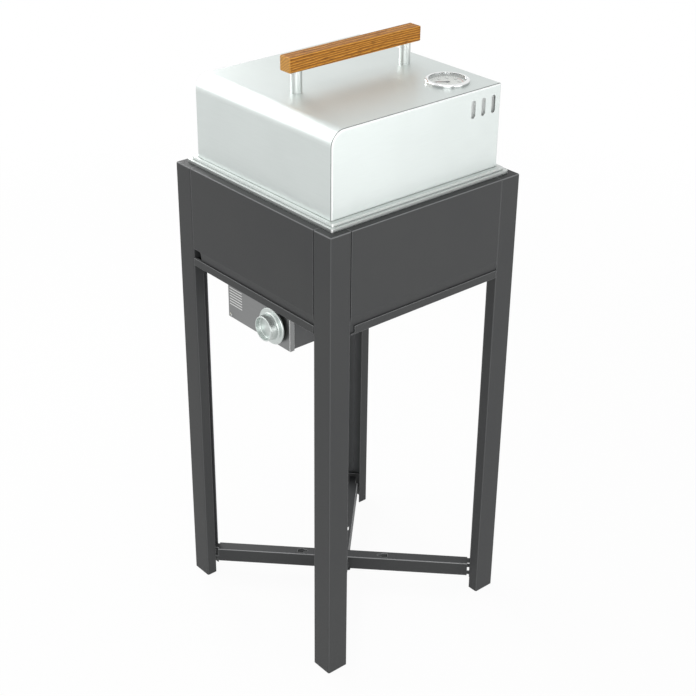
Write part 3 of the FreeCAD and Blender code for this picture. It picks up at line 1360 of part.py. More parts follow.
def handle_screws_shape():
    """Two long screws from inside the hood, through the posts into the bar."""
    screws = []
    for y in post_places():
        foot = V(0, y, HOOD_UNDER_Z - POST_SCREW_HEAD_H)
        head = rod(foot, Z_AXIS, POST_SCREW_HEAD_R, POST_SCREW_HEAD_H)
        socket = hexagon(foot - Z_AXIS, Z_AXIS, POST_SOCKET_R, POST_SOCKET_DEPTH + 1)
        length = HOOD_SHEET + POST_HEIGHT + POST_SCREW_BITE + 0.5
        shank = rod(V(0, y, HOOD_UNDER_Z - 0.5), Z_AXIS, POST_SCREW_R, length)
        screws.append(union([head, shank]).cut(socket))
    return Part.makeCompound(screws)


def gauge_centre(z):
    """Point on the thermometer's axis."""
    return V(GAUGE_X, GAUGE_Y, z)


def gauge_well_r():
    """Inside radius of the thermometer's case."""
    return GAUGE_R - GAUGE_BEZEL


def gauge_body_r():
    """Outside radius of the case where it passes through the hood."""
    return gauge_well_r() + GAUGE_WALL


def dial_z():
    """Underside of the dial, on the floor of the case."""
    return HOOD_TOP_Z + GAUGE_HEIGHT - DIAL_DROP - DIAL_T


def glass_z():
    """Underside of the glass."""
    return HOOD_TOP_Z + GAUGE_HEIGHT - GLASS_T - GLASS_SEAT


def pointer_z():
    """Underside of the pointer."""
    return dial_z() + DIAL_T + POINTER_LIFT


def thermometer_case_shape():
    """Turned case with a rounded bezel on the hood, a floor for the dial, a threaded skirt and a probe."""
    well = gauge_well_r()
    low = -GAUGE_DEPTH
    under = dial_z() - GAUGE_FLOOR - HOOD_TOP_Z
    pocket = gauge_body_r() - GAUGE_SKIRT
    outer = [
        (0, low - GAUGE_PROBE_L),
        (GAUGE_PROBE_R, low - GAUGE_PROBE_L),
        (GAUGE_PROBE_R, low - GAUGE_BOSS_H),
        (GAUGE_BOSS_R, low - GAUGE_BOSS_H),
        (GAUGE_BOSS_R, under),
        (pocket, under),
        (pocket, low),
        (gauge_body_r(), low),
        (gauge_body_r(), 0),
        (GAUGE_R, 0),
        (GAUGE_R, GAUGE_HEIGHT),
        (0, GAUGE_HEIGHT),
    ]
    case = revolved(outer, gauge_centre(HOOD_TOP_Z), False)
    top = HOOD_TOP_Z + GAUGE_HEIGHT
    bezel_round = min(GAUGE_BEZEL, GAUGE_HEIGHT) / 2
    case = round_edges(case, bezel_round, lambda p: near(p.z, top))
    case = case.cut(rod(gauge_centre(dial_z()), Z_AXIS, well, GAUGE_DEPTH + GAUGE_HEIGHT))
    case = case.cut(rod(gauge_centre(glass_z()), Z_AXIS, well + GLASS_SEAT, GAUGE_HEIGHT))
    pivot_top = pointer_z() + POINTER_T + PIVOT_HEAD
    pivot = rod(gauge_centre(dial_z() - 1), Z_AXIS, PIVOT_R, pivot_top - dial_z() + 1)
    return union([case, pivot])


def thermometer_dial_shape():
    """Printed disc on the floor of the case."""
    dial = rod(gauge_centre(dial_z()), Z_AXIS, gauge_well_r() - FIT_CLEAR, DIAL_T)
    return dial.cut(rod(gauge_centre(dial_z() - 1), Z_AXIS, PIVOT_R + FIT_CLEAR, DIAL_T + 2))


def thermometer_glass_shape():
    """Glass disc on the seat inside the bezel."""
    return rod(gauge_centre(glass_z()), Z_AXIS, gauge_well_r() + GLASS_SEAT - THREAD_CLEAR, GLASS_T)


def thermometer_pointer_shape():
    """Tapered pointer with a tail, turning on the case's pivot."""
    hub = rod(CENTRE, Z_AXIS, POINTER_HUB_R, POINTER_T)
    half = POINTER_WIDTH / 2
    tip = POINTER_TIP / 2
    outline = [V(-POINTER_TAIL, -half, 0), V(POINTER_LENGTH, -tip, 0), V(POINTER_LENGTH, tip, 0)]
    outline += [V(-POINTER_TAIL, half, 0), V(-POINTER_TAIL, -half, 0)]
    blade = Part.Face(Part.makePolygon(outline)).extrude(V(0, 0, POINTER_T))
    pointer = union([hub, blade])
    pointer = pointer.cut(rod(V(0, 0, -1), Z_AXIS, PIVOT_R + PIVOT_CLEAR, POINTER_T + 2))
    pointer.rotate(CENTRE, Z_AXIS, POINTER_ANGLE)
    pointer.translate(gauge_centre(pointer_z()))
    return pointer


def thermometer_nut_shape():
    """Ring nut on the case, under the hood's sheet, with two spanner flats."""
    outer = gauge_body_r() + GAUGE_NUT_WALL
    low = HOOD_UNDER_Z - GAUGE_NUT_H
    ring = rod(gauge_centre(low), Z_AXIS, outer, GAUGE_NUT_H)
    ring = ring.cut(rod(gauge_centre(low - 1), Z_AXIS, gauge_body_r() + THREAD_CLEAR, GAUGE_NUT_H + 2))
    flat = outer - GAUGE_NUT_FLAT
    for way in (-1, 1):
        x0, x1 = sorted((way * flat, way * (outer + 1)))
        cutter = block(x0, x1, -outer, outer, -1, GAUGE_NUT_H + 1)
        cutter.translate(gauge_centre(low))
        ring = ring.cut(cutter)
    return ring


def stand_parts():
    """Legs, aprons, floor pan and brace."""
    parts = {}
    leg = leg_shape()
    for name, quarters, place in corners():
        parts["leg_" + name] = at_corner(leg, quarters, place)
    for name, quarters, width, reach in sides():
        apron = apron_shape(width, reach, name == "front")
        parts["apron_" + name] = turned(apron, quarters)
    parts["base_pan"] = base_pan_shape()
    parts["apron_screws"] = apron_screws_shape()
    parts["brace_bar_a"] = place_bar(brace_bar_shape(True), 0)
    parts["brace_bar_b"] = place_bar(brace_bar_shape(False), 1)
    parts["brace_cleats"] = brace_cleats_shape()
    parts["brace_plate"] = brace_plate_shape()
    parts["brace_screws"] = brace_screws_shape()
    return parts


def grill_parts():
    """Rim, tub and what lies in them."""
    return {
        "grill_rim": grill_rim_shape(),
        "firebox": firebox_shape(),
        "cooking_grate": cooking_grate_shape(),
        "flame_tamer": flame_tamer_shape(),
        "tamer_brackets": tamer_brackets_shape(),
        "burner_tube": burner_tube_shape(),
        "burner_bracket": burner_bracket_shape(),
        "jet_cup": jet_cup_shape(),
        "gas_jet": gas_jet_shape(),
        "gas_pipe": gas_pipe_shape(),
        "igniter_electrode": igniter_electrode_shape(),
        "drip_tray": drip_tray_shape(),
    }


def control_parts():
    """Control box, valve and knob."""
    return {
        "control_box": control_box_shape(),
        "control_panel": control_panel_shape(),
        "panel_screw": pan_head_screw(panel_screw_place(), PANEL_SCREW_LENGTH),
        "box_screws": box_screws_shape(),
        "gas_valve": gas_valve_shape(),
        "valve_screws": valve_screws_shape(),
        "valve_plug": valve_plug_shape(),
        "valve_stem": valve_stem_shape(),
        "knob": knob_shape(),
        "gas_inlet": gas_inlet_shape(),
    }


def hood_parts():
    """Hood, handle and thermometer."""
    return {
        "hood_shell": hood_shell_shape(),
        "hood_side_left": hood_side_shape(-1, False),
        "hood_side_right": hood_side_shape(1, True),
        "handle_posts": handle_posts_shape(),
        "handle_bar": handle_bar_shape(),
        "handle_screws": handle_screws_shape(),
        "thermometer_case": thermometer_case_shape(),
        "thermometer_dial": thermometer_dial_shape(),
        "thermometer_pointer": thermometer_pointer_shape(),
        "thermometer_glass": thermometer_glass_shape(),
        "thermometer_nut": thermometer_nut_shape(),
    }


def main():
    """Build every piece and write one file for each."""
    os.makedirs("parts", exist_ok=True)
    parts = {}
    for group in (stand_parts(), grill_parts(), control_parts(), hood_parts()):
        parts.update(group)
    for name, shape in parts.items():
        shape.translate(V(0, ORIGIN_SHIFT, 0))
        shape.exportStep("parts/" + name + ".step")
        box = shape.BoundBox
        low = f"from {box.XMin:.1f} {box.YMin:.1f} {box.ZMin:.1f}"
        high = f"to {box.XMax:.1f} {box.YMax:.1f} {box.ZMax:.1f}"
        state = f"{len(shape.Solids)} solids, valid {shape.isValid()}, {shape.Volume:.0f} mm3"
        print(f"{name}: {state}, {low} {high}")


main()
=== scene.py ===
"""Looks of the compact gas grill on its folded steel stand: finishes, small fittings, studio and camera."""

import json
import logging
import math
from dataclasses import dataclass, field
from enum import Enum

import bmesh
import bpy
from mathutils import Matrix, Vector

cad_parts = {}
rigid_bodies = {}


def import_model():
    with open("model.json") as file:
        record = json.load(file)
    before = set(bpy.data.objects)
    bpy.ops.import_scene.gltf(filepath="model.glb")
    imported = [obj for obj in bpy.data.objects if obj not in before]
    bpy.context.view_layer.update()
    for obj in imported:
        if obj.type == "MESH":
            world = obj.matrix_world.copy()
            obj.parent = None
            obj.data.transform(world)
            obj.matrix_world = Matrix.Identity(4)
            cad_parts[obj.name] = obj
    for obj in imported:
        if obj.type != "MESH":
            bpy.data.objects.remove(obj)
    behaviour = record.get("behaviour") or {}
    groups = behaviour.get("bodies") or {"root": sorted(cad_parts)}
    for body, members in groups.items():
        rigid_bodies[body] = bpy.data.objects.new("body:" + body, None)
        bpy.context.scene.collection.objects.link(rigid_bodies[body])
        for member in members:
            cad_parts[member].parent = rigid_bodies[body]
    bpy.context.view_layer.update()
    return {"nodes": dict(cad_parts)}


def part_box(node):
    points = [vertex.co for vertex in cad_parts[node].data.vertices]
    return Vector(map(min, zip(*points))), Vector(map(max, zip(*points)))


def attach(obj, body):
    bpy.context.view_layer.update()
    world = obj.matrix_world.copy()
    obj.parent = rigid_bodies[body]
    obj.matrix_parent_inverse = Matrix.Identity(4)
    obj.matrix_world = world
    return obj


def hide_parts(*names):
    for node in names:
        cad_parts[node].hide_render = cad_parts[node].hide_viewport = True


LOG = logging.getLogger("gas_grill")
MM = 0.001
WHITE = (1.0, 1.0, 1.0, 1.0)


class Grain(Enum):
    """Which way the brushing or rolling lines of a sheet run."""

    ACROSS = "x"
    DEEP = "y"
    UPRIGHT = "z"


class Turning(Enum):
    """The axis that a turned piece was made on."""

    FRONT = "y"
    UP = "z"


def linear(code: str) -> tuple[float, float, float, float]:
    """Turn an sRGB hex colour to linear.

    Args:
        code: the colour as #RRGGBB.

    Returns:
        Linear red, green, blue and an alpha of 1.
    """
    out = []
    for k in (1, 3, 5):
        c = int(code[k:k + 2], 16) / 255.0
        out.append(c / 12.92 if c <= 0.04045 else ((c + 0.055) / 1.055) ** 2.4)
    return (out[0], out[1], out[2], 1.0)


def per(size_mm: float) -> float:
    """Pattern scale, in repeats per metre, of a feature of that many millimetres."""
    return 1.0 / (size_mm * MM)


def add_node(tree: bpy.types.NodeTree, kind: str, settings: dict | None = None,
             inputs: dict | None = None) -> bpy.types.Node:
    """Add a node with its settings and its inputs.

    Args:
        tree: the tree that gets the node.
        kind: Blender's name of the node's type.
        settings: the node's own properties.
        inputs: values, sockets or lists of sockets by input name or number.

    Returns:
        The new node.
    """
    node = tree.nodes.new(kind)
    for name, value in (settings or {}).items():
        setattr(node, name, value)
    for key, value in (inputs or {}).items():
        for one in value if isinstance(value, list) else [value]:
            if isinstance(one, bpy.types.NodeSocket):
                tree.links.new(one, node.inputs[key])
            else:
                node.inputs[key].default_value = one
    return node


def set_stops(ramp: bpy.types.Node, stops: list[tuple[float, str]]) -> bpy.types.Node:
    """Give a colour ramp its stops.

    Args:
        ramp: the colour ramp node.
        stops: place and hex colour of each stop, in order.

    Returns:
        The same node.
    """
    elements = ramp.color_ramp.elements
    while len(elements) < len(stops):
        elements.new(1.0)
    for element, (place, code) in zip(elements, stops):
        element.position = place
        element.color = linear(code)
    return ramp


def noise(tree: bpy.types.NodeTree, place: bpy.types.NodeSocket, size_mm: float, detail: float = 2.0,
          **more: float) -> bpy.types.NodeSocket:
    """Soft random pattern with features of a given size.

    Args:
        tree: the material's tree.
        place: the coordinates.
        size_mm: size of its features.
        detail: how many finer layers it has.
        more: its other inputs by name.

    Returns:
        The pattern, from 0 to 1.
    """
    wanted = {"Vector": place, "Scale": per(size_mm), "Detail": detail, **more}
    return add_node(tree, "ShaderNodeTexNoise", inputs=wanted).outputs["Fac"]


def ranged(tree: bpy.types.NodeTree, value: bpy.types.NodeSocket, low: float, high: float,
           first: float = 0.0, last: float = 1.0) -> bpy.types.NodeSocket:
    """Turn one range of a number into another and hold it at the ends.

    Args:
        tree: the tree.
        value: the number.
        low: the value that gives the first result.
        high: the value that gives the last result.
        first: the result at the low value.
        last: the result at the high value.

    Returns:
        The result's socket.
    """
    ends = {"Value": value, "From Min": low, "From Max": high, "To Min": first, "To Max": last}
    return add_node(tree, "ShaderNodeMapRange", inputs=ends).outputs["Result"]


def mixed(tree: bpy.types.NodeTree, share: bpy.types.NodeSocket, low: bpy.types.NodeSocket | str,
          high: bpy.types.NodeSocket | str) -> bpy.types.NodeSocket:
    """Mix two colours, each a hex code or a socket.

    Args:
        tree: the material's tree.
        share: how much of the second colour, from 0 to 1.
        low: the first colour.
        high: the second colour.

    Returns:
        The mixed colour's socket.
    """
    first, second = (linear(one) if isinstance(one, str) else one for one in (low, high))
    wanted = {"Factor": share, 6: first, 7: second}
    return add_node(tree, "ShaderNodeMix", {"data_type": "RGBA"}, wanted).outputs[2]


def reckon(tree: bpy.types.NodeTree, operation: str, *values: bpy.types.NodeSocket | float,
           clamp: bool = False) -> bpy.types.NodeSocket:
    """Do a sum with numbers.

    Args:
        tree: the tree.
        operation: Blender's name of the operation.
        values: the numbers, in the node's order.
        clamp: whether the result is held between 0 and 1.

    Returns:
        The result's socket.
    """
    settings = {"operation": operation, "use_clamp": clamp}
    return add_node(tree, "ShaderNodeMath", settings, dict(enumerate(values))).outputs["Value"]


def reckon_vector(tree: bpy.types.NodeTree, operation: str,
                  *values: bpy.types.NodeSocket | tuple | Vector) -> bpy.types.NodeSocket:
    """Do a sum with vectors.

    Args:
        tree: the tree.
        operation: Blender's name of the operation.
        values: the vectors, in the node's order.

    Returns:
        The result's socket, a number for a length or a dot product.
    """
    made = add_node(tree, "ShaderNodeVectorMath", {"operation": operation}, dict(enumerate(values)))
    return made.outputs["Value" if operation in ("LENGTH", "DOT_PRODUCT") else "Vector"]


def parts_of(tree: bpy.types.NodeTree, vector: bpy.types.NodeSocket) -> bpy.types.NodeOutputs:
    """X, Y and Z of a vector, by name."""
    return add_node(tree, "ShaderNodeSeparateXYZ", inputs={"Vector": vector}).outputs


def made_of(tree: bpy.types.NodeTree, x: bpy.types.NodeSocket | float, y: bpy.types.NodeSocket | float,
            z: bpy.types.NodeSocket | float) -> bpy.types.NodeSocket:
    """Vector made of three numbers."""
    return add_node(tree, "ShaderNodeCombineXYZ", inputs={"X": x, "Y": y, "Z": z}).outputs["Vector"]


def face_normal(tree: bpy.types.NodeTree) -> bpy.types.NodeSocket:
    """Direction that the face itself looks in, without its relief."""
    return add_node(tree, "ShaderNodeNewGeometry").outputs["True Normal"]


@dataclass(frozen=True)
class Finish:
    """What all finishes share: name, slot of the record, colour and the shader's plain values."""

    name: str
    slot: str
    colour: str
    roughness: float = 0.4

    metallic = 0.0
    sheen = 0.5
    edge_mm = 0.4

    def material(self) -> bpy.types.Material:
        """Make the material at its first use and give the same one after that.

        Returns:
            The finish's material.
        """
        found = bpy.data.materials.get(self.name)
        if found:
            return found
        made = bpy.data.materials.new(self.name)
        made.use_nodes = True
        made.diffuse_color = linear(self.colour)
        tree = made.node_tree
        tree.nodes.clear()
        plain = {
            "Base Color": linear(self.colour), "Roughness": self.roughness, "Metallic": self.metallic,
            "Specular IOR Level": self.sheen}
        shader = add_node(tree, "ShaderNodeBsdfPrincipled", inputs=plain)
        add_node(tree, "ShaderNodeOutputMaterial", inputs={"Surface": shader.outputs["BSDF"]})
        self.dress(tree, shader)
        return made

    def dress(self, tree: bpy.types.NodeTree, shader: bpy.types.Node) -> None:
        """Add the finish's own pattern, relief and wear to its shader."""
        raise NotImplementedError

    def coordinates(self, tree: bpy.types.NodeTree, place: Vector = Vector(),
                    stretch: tuple[float, float, float] = (1.0, 1.0, 1.0)) -> bpy.types.NodeSocket:
        """Object coordinates, measured from a place and stretched.

        Args:
            tree: the material's tree.
            place: the point that becomes the pattern's middle, in metres.
            stretch: how many times each coordinate is multiplied.

        Returns:
            The vector socket.
        """
        source = add_node(tree, "ShaderNodeTexCoord")
        moved = reckon_vector(tree, "SUBTRACT", source.outputs["Object"], place)
        return reckon_vector(tree, "MULTIPLY", moved, stretch)

    def soft_edges(self, tree: bpy.types.NodeTree) -> bpy.types.NodeSocket:
        """Normal that rounds the cut edges by the finish's edge size."""
        bevel = add_node(tree, "ShaderNodeBevel", {"samples": 4}, {"Radius": self.edge_mm * MM})
        return bevel.outputs["Normal"]

    def openness(self, tree: bpy.types.NodeTree, reach_mm: float, **settings: bool) -> bpy.types.NodeSocket:
        """How free a place is of other faces within a reach.

        Args:
            tree: the material's tree.
            reach_mm: how far other faces count.
            settings: the node's own properties.

        Returns:
            A number from 0 where it is shut in to 1 where it is free.
        """
        found = add_node(tree, "ShaderNodeAmbientOcclusion", {"samples": 8, **settings},
                         {"Distance": reach_mm * MM})
        return found.outputs["AO"]

    def bends(self, tree: bpy.types.NodeTree, corner: float) -> bpy.types.NodeSocket:
        """How far the face leans between two flat sides of the sheet, which it does on bends alone.

        Args:
            tree: the material's tree.
            corner: what a standing bend gives.

        Returns:
            A number from 0 on flats to 1 on lying bends, and to the corner's share on standing ones.
        """
        normal = self.soft_edges(tree)
        square = parts_of(tree, reckon_vector(tree, "MULTIPLY", normal, normal))
        level = reckon(tree, "SUBTRACT", 1.0, square["Z"])
        lying = reckon(tree, "MULTIPLY", square["Z"], level)
        standing = reckon(tree, "MULTIPLY", square["X"], square["Y"])
        folds = ranged(tree, lying, 0.08, 0.2)
        corners = ranged(tree, standing, 0.08, 0.2, 0.0, corner)
        return reckon(tree, "MAXIMUM", folds, corners)

    def relief(self, tree: bpy.types.NodeTree, shader: bpy.types.Node, height: bpy.types.NodeSocket,
               depth_mm: float) -> None:
        """Bump of a given depth over the softened edges, linked to the shader.

        Args:
            tree: the material's tree.
            shader: the shader whose normal is set.
            height: the pattern, from 0 to 1.
            depth_mm: how deep the pattern is.
        """
        bump = add_node(tree, "ShaderNodeBump", inputs={
            "Strength": 1.0, "Distance": depth_mm * MM, "Height": height, "Normal": self.soft_edges(tree)})
        tree.links.new(bump.outputs["Normal"], shader.inputs["Normal"])

    def vary(self, tree: bpy.types.NodeTree, shader: bpy.types.Node, pattern: bpy.types.NodeSocket,
             spread: float) -> None:
        """Let a pattern move the roughness a little to both sides.

        Args:
            tree: the material's tree.
            shader: the shader whose roughness is set.
            pattern: the pattern, from 0 to 1.
            spread: the most that the roughness moves each way.
        """
        low, high = max(self.roughness - spread, 0.02), min(self.roughness + spread, 1.0)
        tree.links.new(ranged(tree, pattern, 0.25, 0.75, low, high), shader.inputs["Roughness"])

    def blend(self, tree: bpy.types.NodeTree, shader: bpy.types.Node, pattern: bpy.types.NodeSocket,
              low: str, high: str) -> bpy.types.NodeSocket:
        """Mix two colours by a pattern and link them to the shader.

        Args:
            tree: the material's tree.
            shader: the shader whose base colour is set.
            pattern: the pattern, from 0 to 1.
            low: hex colour where the pattern is low.
            high: hex colour where it is high.

        Returns:
            The mixed colour's socket.
        """
        both = mixed(tree, ranged(tree, pattern, 0.3, 0.7), low, high)
        tree.links.new(both, shader.inputs["Base Color"])
        return both


@dataclass(frozen=True)
class PowderCoat(Finish):
    """Baked polyester powder on sheet steel: satin, with orange peel, painted highlights on edges and bends,
    painted shade on ledges and painted light in deep folds.
    """

    light: str = "#3B3C3D"
    # Colour of the painted highlight on edges and bends.
    edge: str = "#6C6D6E"
    # Colour of the painted shade on faces that look up.
    ledge: str = "#161718"
    # Colour of the painted light in deep folds.
    fold: str = "#7C7E7F"
    fold_mm: float = 45.0
    edge_reach_mm: float = 1.0
    # Share of the painted highlight on standing bends.
    corner: float = 0.3
    ledge_share: float = 0.9

    sheen = 0.3
    edge_mm = 0.8

    def dress(self, tree: bpy.types.NodeTree, shader: bpy.types.Node) -> None:
        """Peel, faint mottling, painted light in deep folds, painted shade on upward ledges, and painted
        highlights on bends and edges.
        """
        here = self.coordinates(tree)
        # Orange peel is about 1 mm wide on the real coat and is drawn at 2 mm so that it shows.
        peel = noise(tree, here, size_mm=2.0)
        cloud = noise(tree, here, size_mm=140.0, detail=3.0)
        base = self.blend(tree, shader, cloud, self.colour, self.light)
        self.relief(tree, shader, peel, depth_mm=0.05)
        self.vary(tree, shader, peel, spread=0.05)
        # Deep folds are painted paler, as painted light, so that they don't go black.
        fold_light_mask = ranged(tree, self.openness(tree, self.fold_mm, only_local=True), 0.7, 0.3)
        with_fold_light = mixed(tree, fold_light_mask, base, self.fold)
        # Faces that look up are painted darker, as painted shade, which sets ledges off from sides.
        height = parts_of(tree, face_normal(tree))["Z"]
        ledge_shade_mask = reckon(tree, "MULTIPLY", self.ledge_share, height, clamp=True)
        toned = mixed(tree, ledge_shade_mask, with_fold_light, self.ledge)
        # Edges and bends are painted lighter, as a painted highlight. Seen from inside the sheet, only its
        # cut edges are near another face.
        within = self.openness(tree, self.edge_reach_mm, inside=True, only_local=True)
        rim = ranged(tree, within, 0.95, 0.55, 0.0, 0.9)
        painted_edge_highlight = reckon(tree, "MAXIMUM", rim, self.bends(tree, self.corner))
        tree.links.new(mixed(tree, painted_edge_highlight, toned, self.edge), shader.inputs["Base Color"])


@dataclass(frozen=True)
class BrushedSheet(Finish):
    """Brushed metal sheet: fine lines along the grain that spread its highlights across them."""

    grain: Grain = Grain.ACROSS
    light: str = "#D0D6D4"
    line_mm: float = 0.7
    depth_mm: float = 0.006
    # Colour of the painted shade in folds and seams, none when empty.
    crease: str = ""
    # Colour of the painted highlight on bends, none when empty.
    edge: str = ""
    near_mm: float = 3.0
    edge_mm: float = 0.4
    inside_x: float = 0.0
    # Pale colour of the inside, painted light behind the vent slots.
    inner: str = "#F2F4F3"
    matt_metallic: float = 0.2

    metallic = 1.0

    def dress(self, tree: bpy.types.NodeTree, shader: bpy.types.Node) -> None:
        """Brushing lines in broad soft patches, painted shade in seams, painted highlights on bends and a
        matt inside painted pale as painted light.
        """
        # Brushing lines are about 0.1 mm apart on the real sheet and are drawn coarser so that they show.
        stretch = tuple(0.02 if self.grain.value == axis else 1.0 for axis in "xyz")
        lines = noise(tree, self.coordinates(tree, stretch=stretch), size_mm=self.line_mm, Roughness=0.6)
        patch = noise(tree, self.coordinates(tree), size_mm=160.0)
        both = add_node(tree, "ShaderNodeMix", inputs={"Factor": 0.5, "A": lines, "B": patch})
        base = self.blend(tree, shader, both.outputs["Result"], self.colour, self.light)
        if self.crease:
            # Folds and seams are painted darker, as painted shade, so that the pieces stand apart.
            crease_shade_mask = ranged(tree, self.openness(tree, self.near_mm), 0.85, 0.45)
            base = mixed(tree, crease_shade_mask, base, self.crease)
        self.vary(tree, shader, lines, spread=0.04)
        self.relief(tree, shader, lines, depth_mm=self.depth_mm)
        matt = None
        if self.edge:
            # Bends are painted nearly white, as a painted highlight, and made matt, so that they catch light
            # from all sides.
            matt = self.bends(tree, 1.0)
            base = mixed(tree, matt, base, self.edge)
        if self.inside_x:
            # The inside is painted pale, as painted light that lifts the shade behind the vent slots, and
            # made matt, so that it doesn't mirror the dark tub.
            apart = reckon(tree, "ABSOLUTE", parts_of(tree, self.coordinates(tree))["X"])
            within = reckon(tree, "LESS_THAN", apart, self.inside_x)
            base = mixed(tree, within, base, self.inner)
            matt = reckon(tree, "MAXIMUM", within, 0.0 if matt is None else matt)
        tree.links.new(base, shader.inputs["Base Color"])
        if matt is not None:
            bare = ranged(tree, matt, 0.0, 1.0, 1.0, self.matt_metallic)
            tree.links.new(bare, shader.inputs["Metallic"])


@dataclass(frozen=True)
class PolishedMetal(Finish):
    """Polished or bright plated metal: sharp reflections with faint hairlines and finger haze."""

    haze: float = 0.05

    metallic = 1.0

    def dress(self, tree: bpy.types.NodeTree, shader: bpy.types.Node) -> None:
        """Haze in the roughness and hairlines in the relief."""
        here = self.coordinates(tree)
        self.vary(tree, shader, noise(tree, here, size_mm=14.0, detail=4.0), spread=self.haze)
        self.relief(tree, shader, noise(tree, here, size_mm=1.5, detail=3.0, Distortion=1.5), depth_mm=0.003)


@dataclass(frozen=True)
class TurnedMetal(Finish):
    """Metal turned on a lathe: fine rings round its axis on its faces and its sides."""

    axis: Turning = Turning.FRONT
    middle: tuple[float, float, float] = (0.0, 0.0, 0.0)
    light: str = "#DCE3E0"
    # Colour of the painted shade on the walls round the axis, none when empty.
    wall: str = ""
    wall_share: float = 0.45
    ring_mm: float = 0.5
    depth_mm: float = 0.012

    metallic = 1.0
    edge_mm = 0.3

    def dress(self, tree: bpy.types.NodeTree, shader: bpy.types.Node) -> None:
        """Rings by the distance from the axis plus the distance along it."""
        here = self.coordinates(tree, Vector(self.middle))
        along = (0.0, 1.0, 0.0) if self.axis is Turning.FRONT else (0.0, 0.0, 1.0)
        across = tuple(1.0 - a for a in along)
        radius = reckon_vector(tree, "LENGTH", reckon_vector(tree, "MULTIPLY", here, across))
        path = reckon(tree, "ADD", radius, reckon_vector(tree, "DOT_PRODUCT", here, along))
        # Tool marks are about 0.1 mm apart on the real piece and are drawn coarser so that they show.
        rings = add_node(tree, "ShaderNodeTexNoise", {"noise_dimensions": "1D"}, {
            "W": path, "Scale": per(self.ring_mm), "Detail": 2.0}).outputs["Fac"]
        base = self.blend(tree, shader, rings, self.colour, self.light)
        if self.wall:
            # The walls round the axis are painted darker all round, as painted shade, which sets the well off
            # from its faces.
            lean = reckon(tree, "ABSOLUTE", reckon_vector(tree, "DOT_PRODUCT", face_normal(tree), along))
            upright = ranged(tree, lean, 0.5, 0.2, 0.0, self.wall_share)
            tree.links.new(mixed(tree, upright, base, self.wall), shader.inputs["Base Color"])
        self.vary(tree, shader, rings, spread=0.06)
        self.relief(tree, shader, rings, depth_mm=self.depth_mm)


@dataclass(frozen=True)
class ZincPlate(Finish):
    """Bright zinc plating: a crystalline, slightly blue and straw sheen over steel."""

    metallic = 1.0
    edge_mm = 0.2

    def dress(self, tree: bpy.types.NodeTree, shader: bpy.types.Node) -> None:
        """Blue and straw patches over fine crystals."""
        here = self.coordinates(tree)
        patch = noise(tree, here, size_mm=5.0, detail=3.0)
        ramp = add_node(tree, "ShaderNodeValToRGB", inputs={"Fac": patch})
        set_stops(ramp, [(0.3, "#A4A8AC"), (0.5, self.colour), (0.7, "#B5B09F")])
        tree.links.new(ramp.outputs["Color"], shader.inputs["Base Color"])
        crystal = add_node(tree, "ShaderNodeTexVoronoi", inputs={"Vector": here, "Scale": per(0.6)})
        self.vary(tree, shader, patch, spread=0.08)
        self.relief(tree, shader, crystal.outputs["Distance"], depth_mm=0.01)


@dataclass(frozen=True)
class HeatTintedSteel(Finish):
    """Bare burner steel after some use: oxide colours from straw to blue, dull and a little rough."""

    metallic = 1.0

    def dress(self, tree: bpy.types.NodeTree, shader: bpy.types.Node) -> None:
        """Oxide colours in patches, with fine scale in the relief."""
        here = self.coordinates(tree)
        ramp = add_node(tree, "ShaderNodeValToRGB", inputs={
            "Fac": noise(tree, here, size_mm=38.0, detail=4.0, Distortion=0.6)})
        set_stops(ramp, [(0.28, "#6F7783"), (0.42, "#85807F"), (0.55, self.colour), (0.7, "#9B8D74")])
        tree.links.new(ramp.outputs["Color"], shader.inputs["Base Color"])
        scale = noise(tree, here, size_mm=1.4, detail=4.0)
        self.vary(tree, shader, scale, spread=0.1)
        self.relief(tree, shader, scale, depth_mm=0.03)


@dataclass(frozen=True)
class VitreousEnamel(Finish):
    """Black glass enamel fired on steel: glossy, wavy, with a few lighter specks."""

    speck: str = "#46484A"

    edge_mm = 1.2

    def dress(self, tree: bpy.types.NodeTree, shader: bpy.types.Node) -> None:
        """Long waves in the glaze and small specks in its colour."""
        here = self.coordinates(tree)
        wave = noise(tree, here, size_mm=9.0, detail=1.0)
        chosen = ranged(tree, noise(tree, here, size_mm=1.3, detail=1.0), 0.66, 0.72)
        tree.links.new(mixed(tree, chosen, self.colour, self.speck), shader.inputs["Base Color"])
        self.vary(tree, shader, wave, spread=0.04)
        self.relief(tree, shader, wave, depth_mm=0.06)


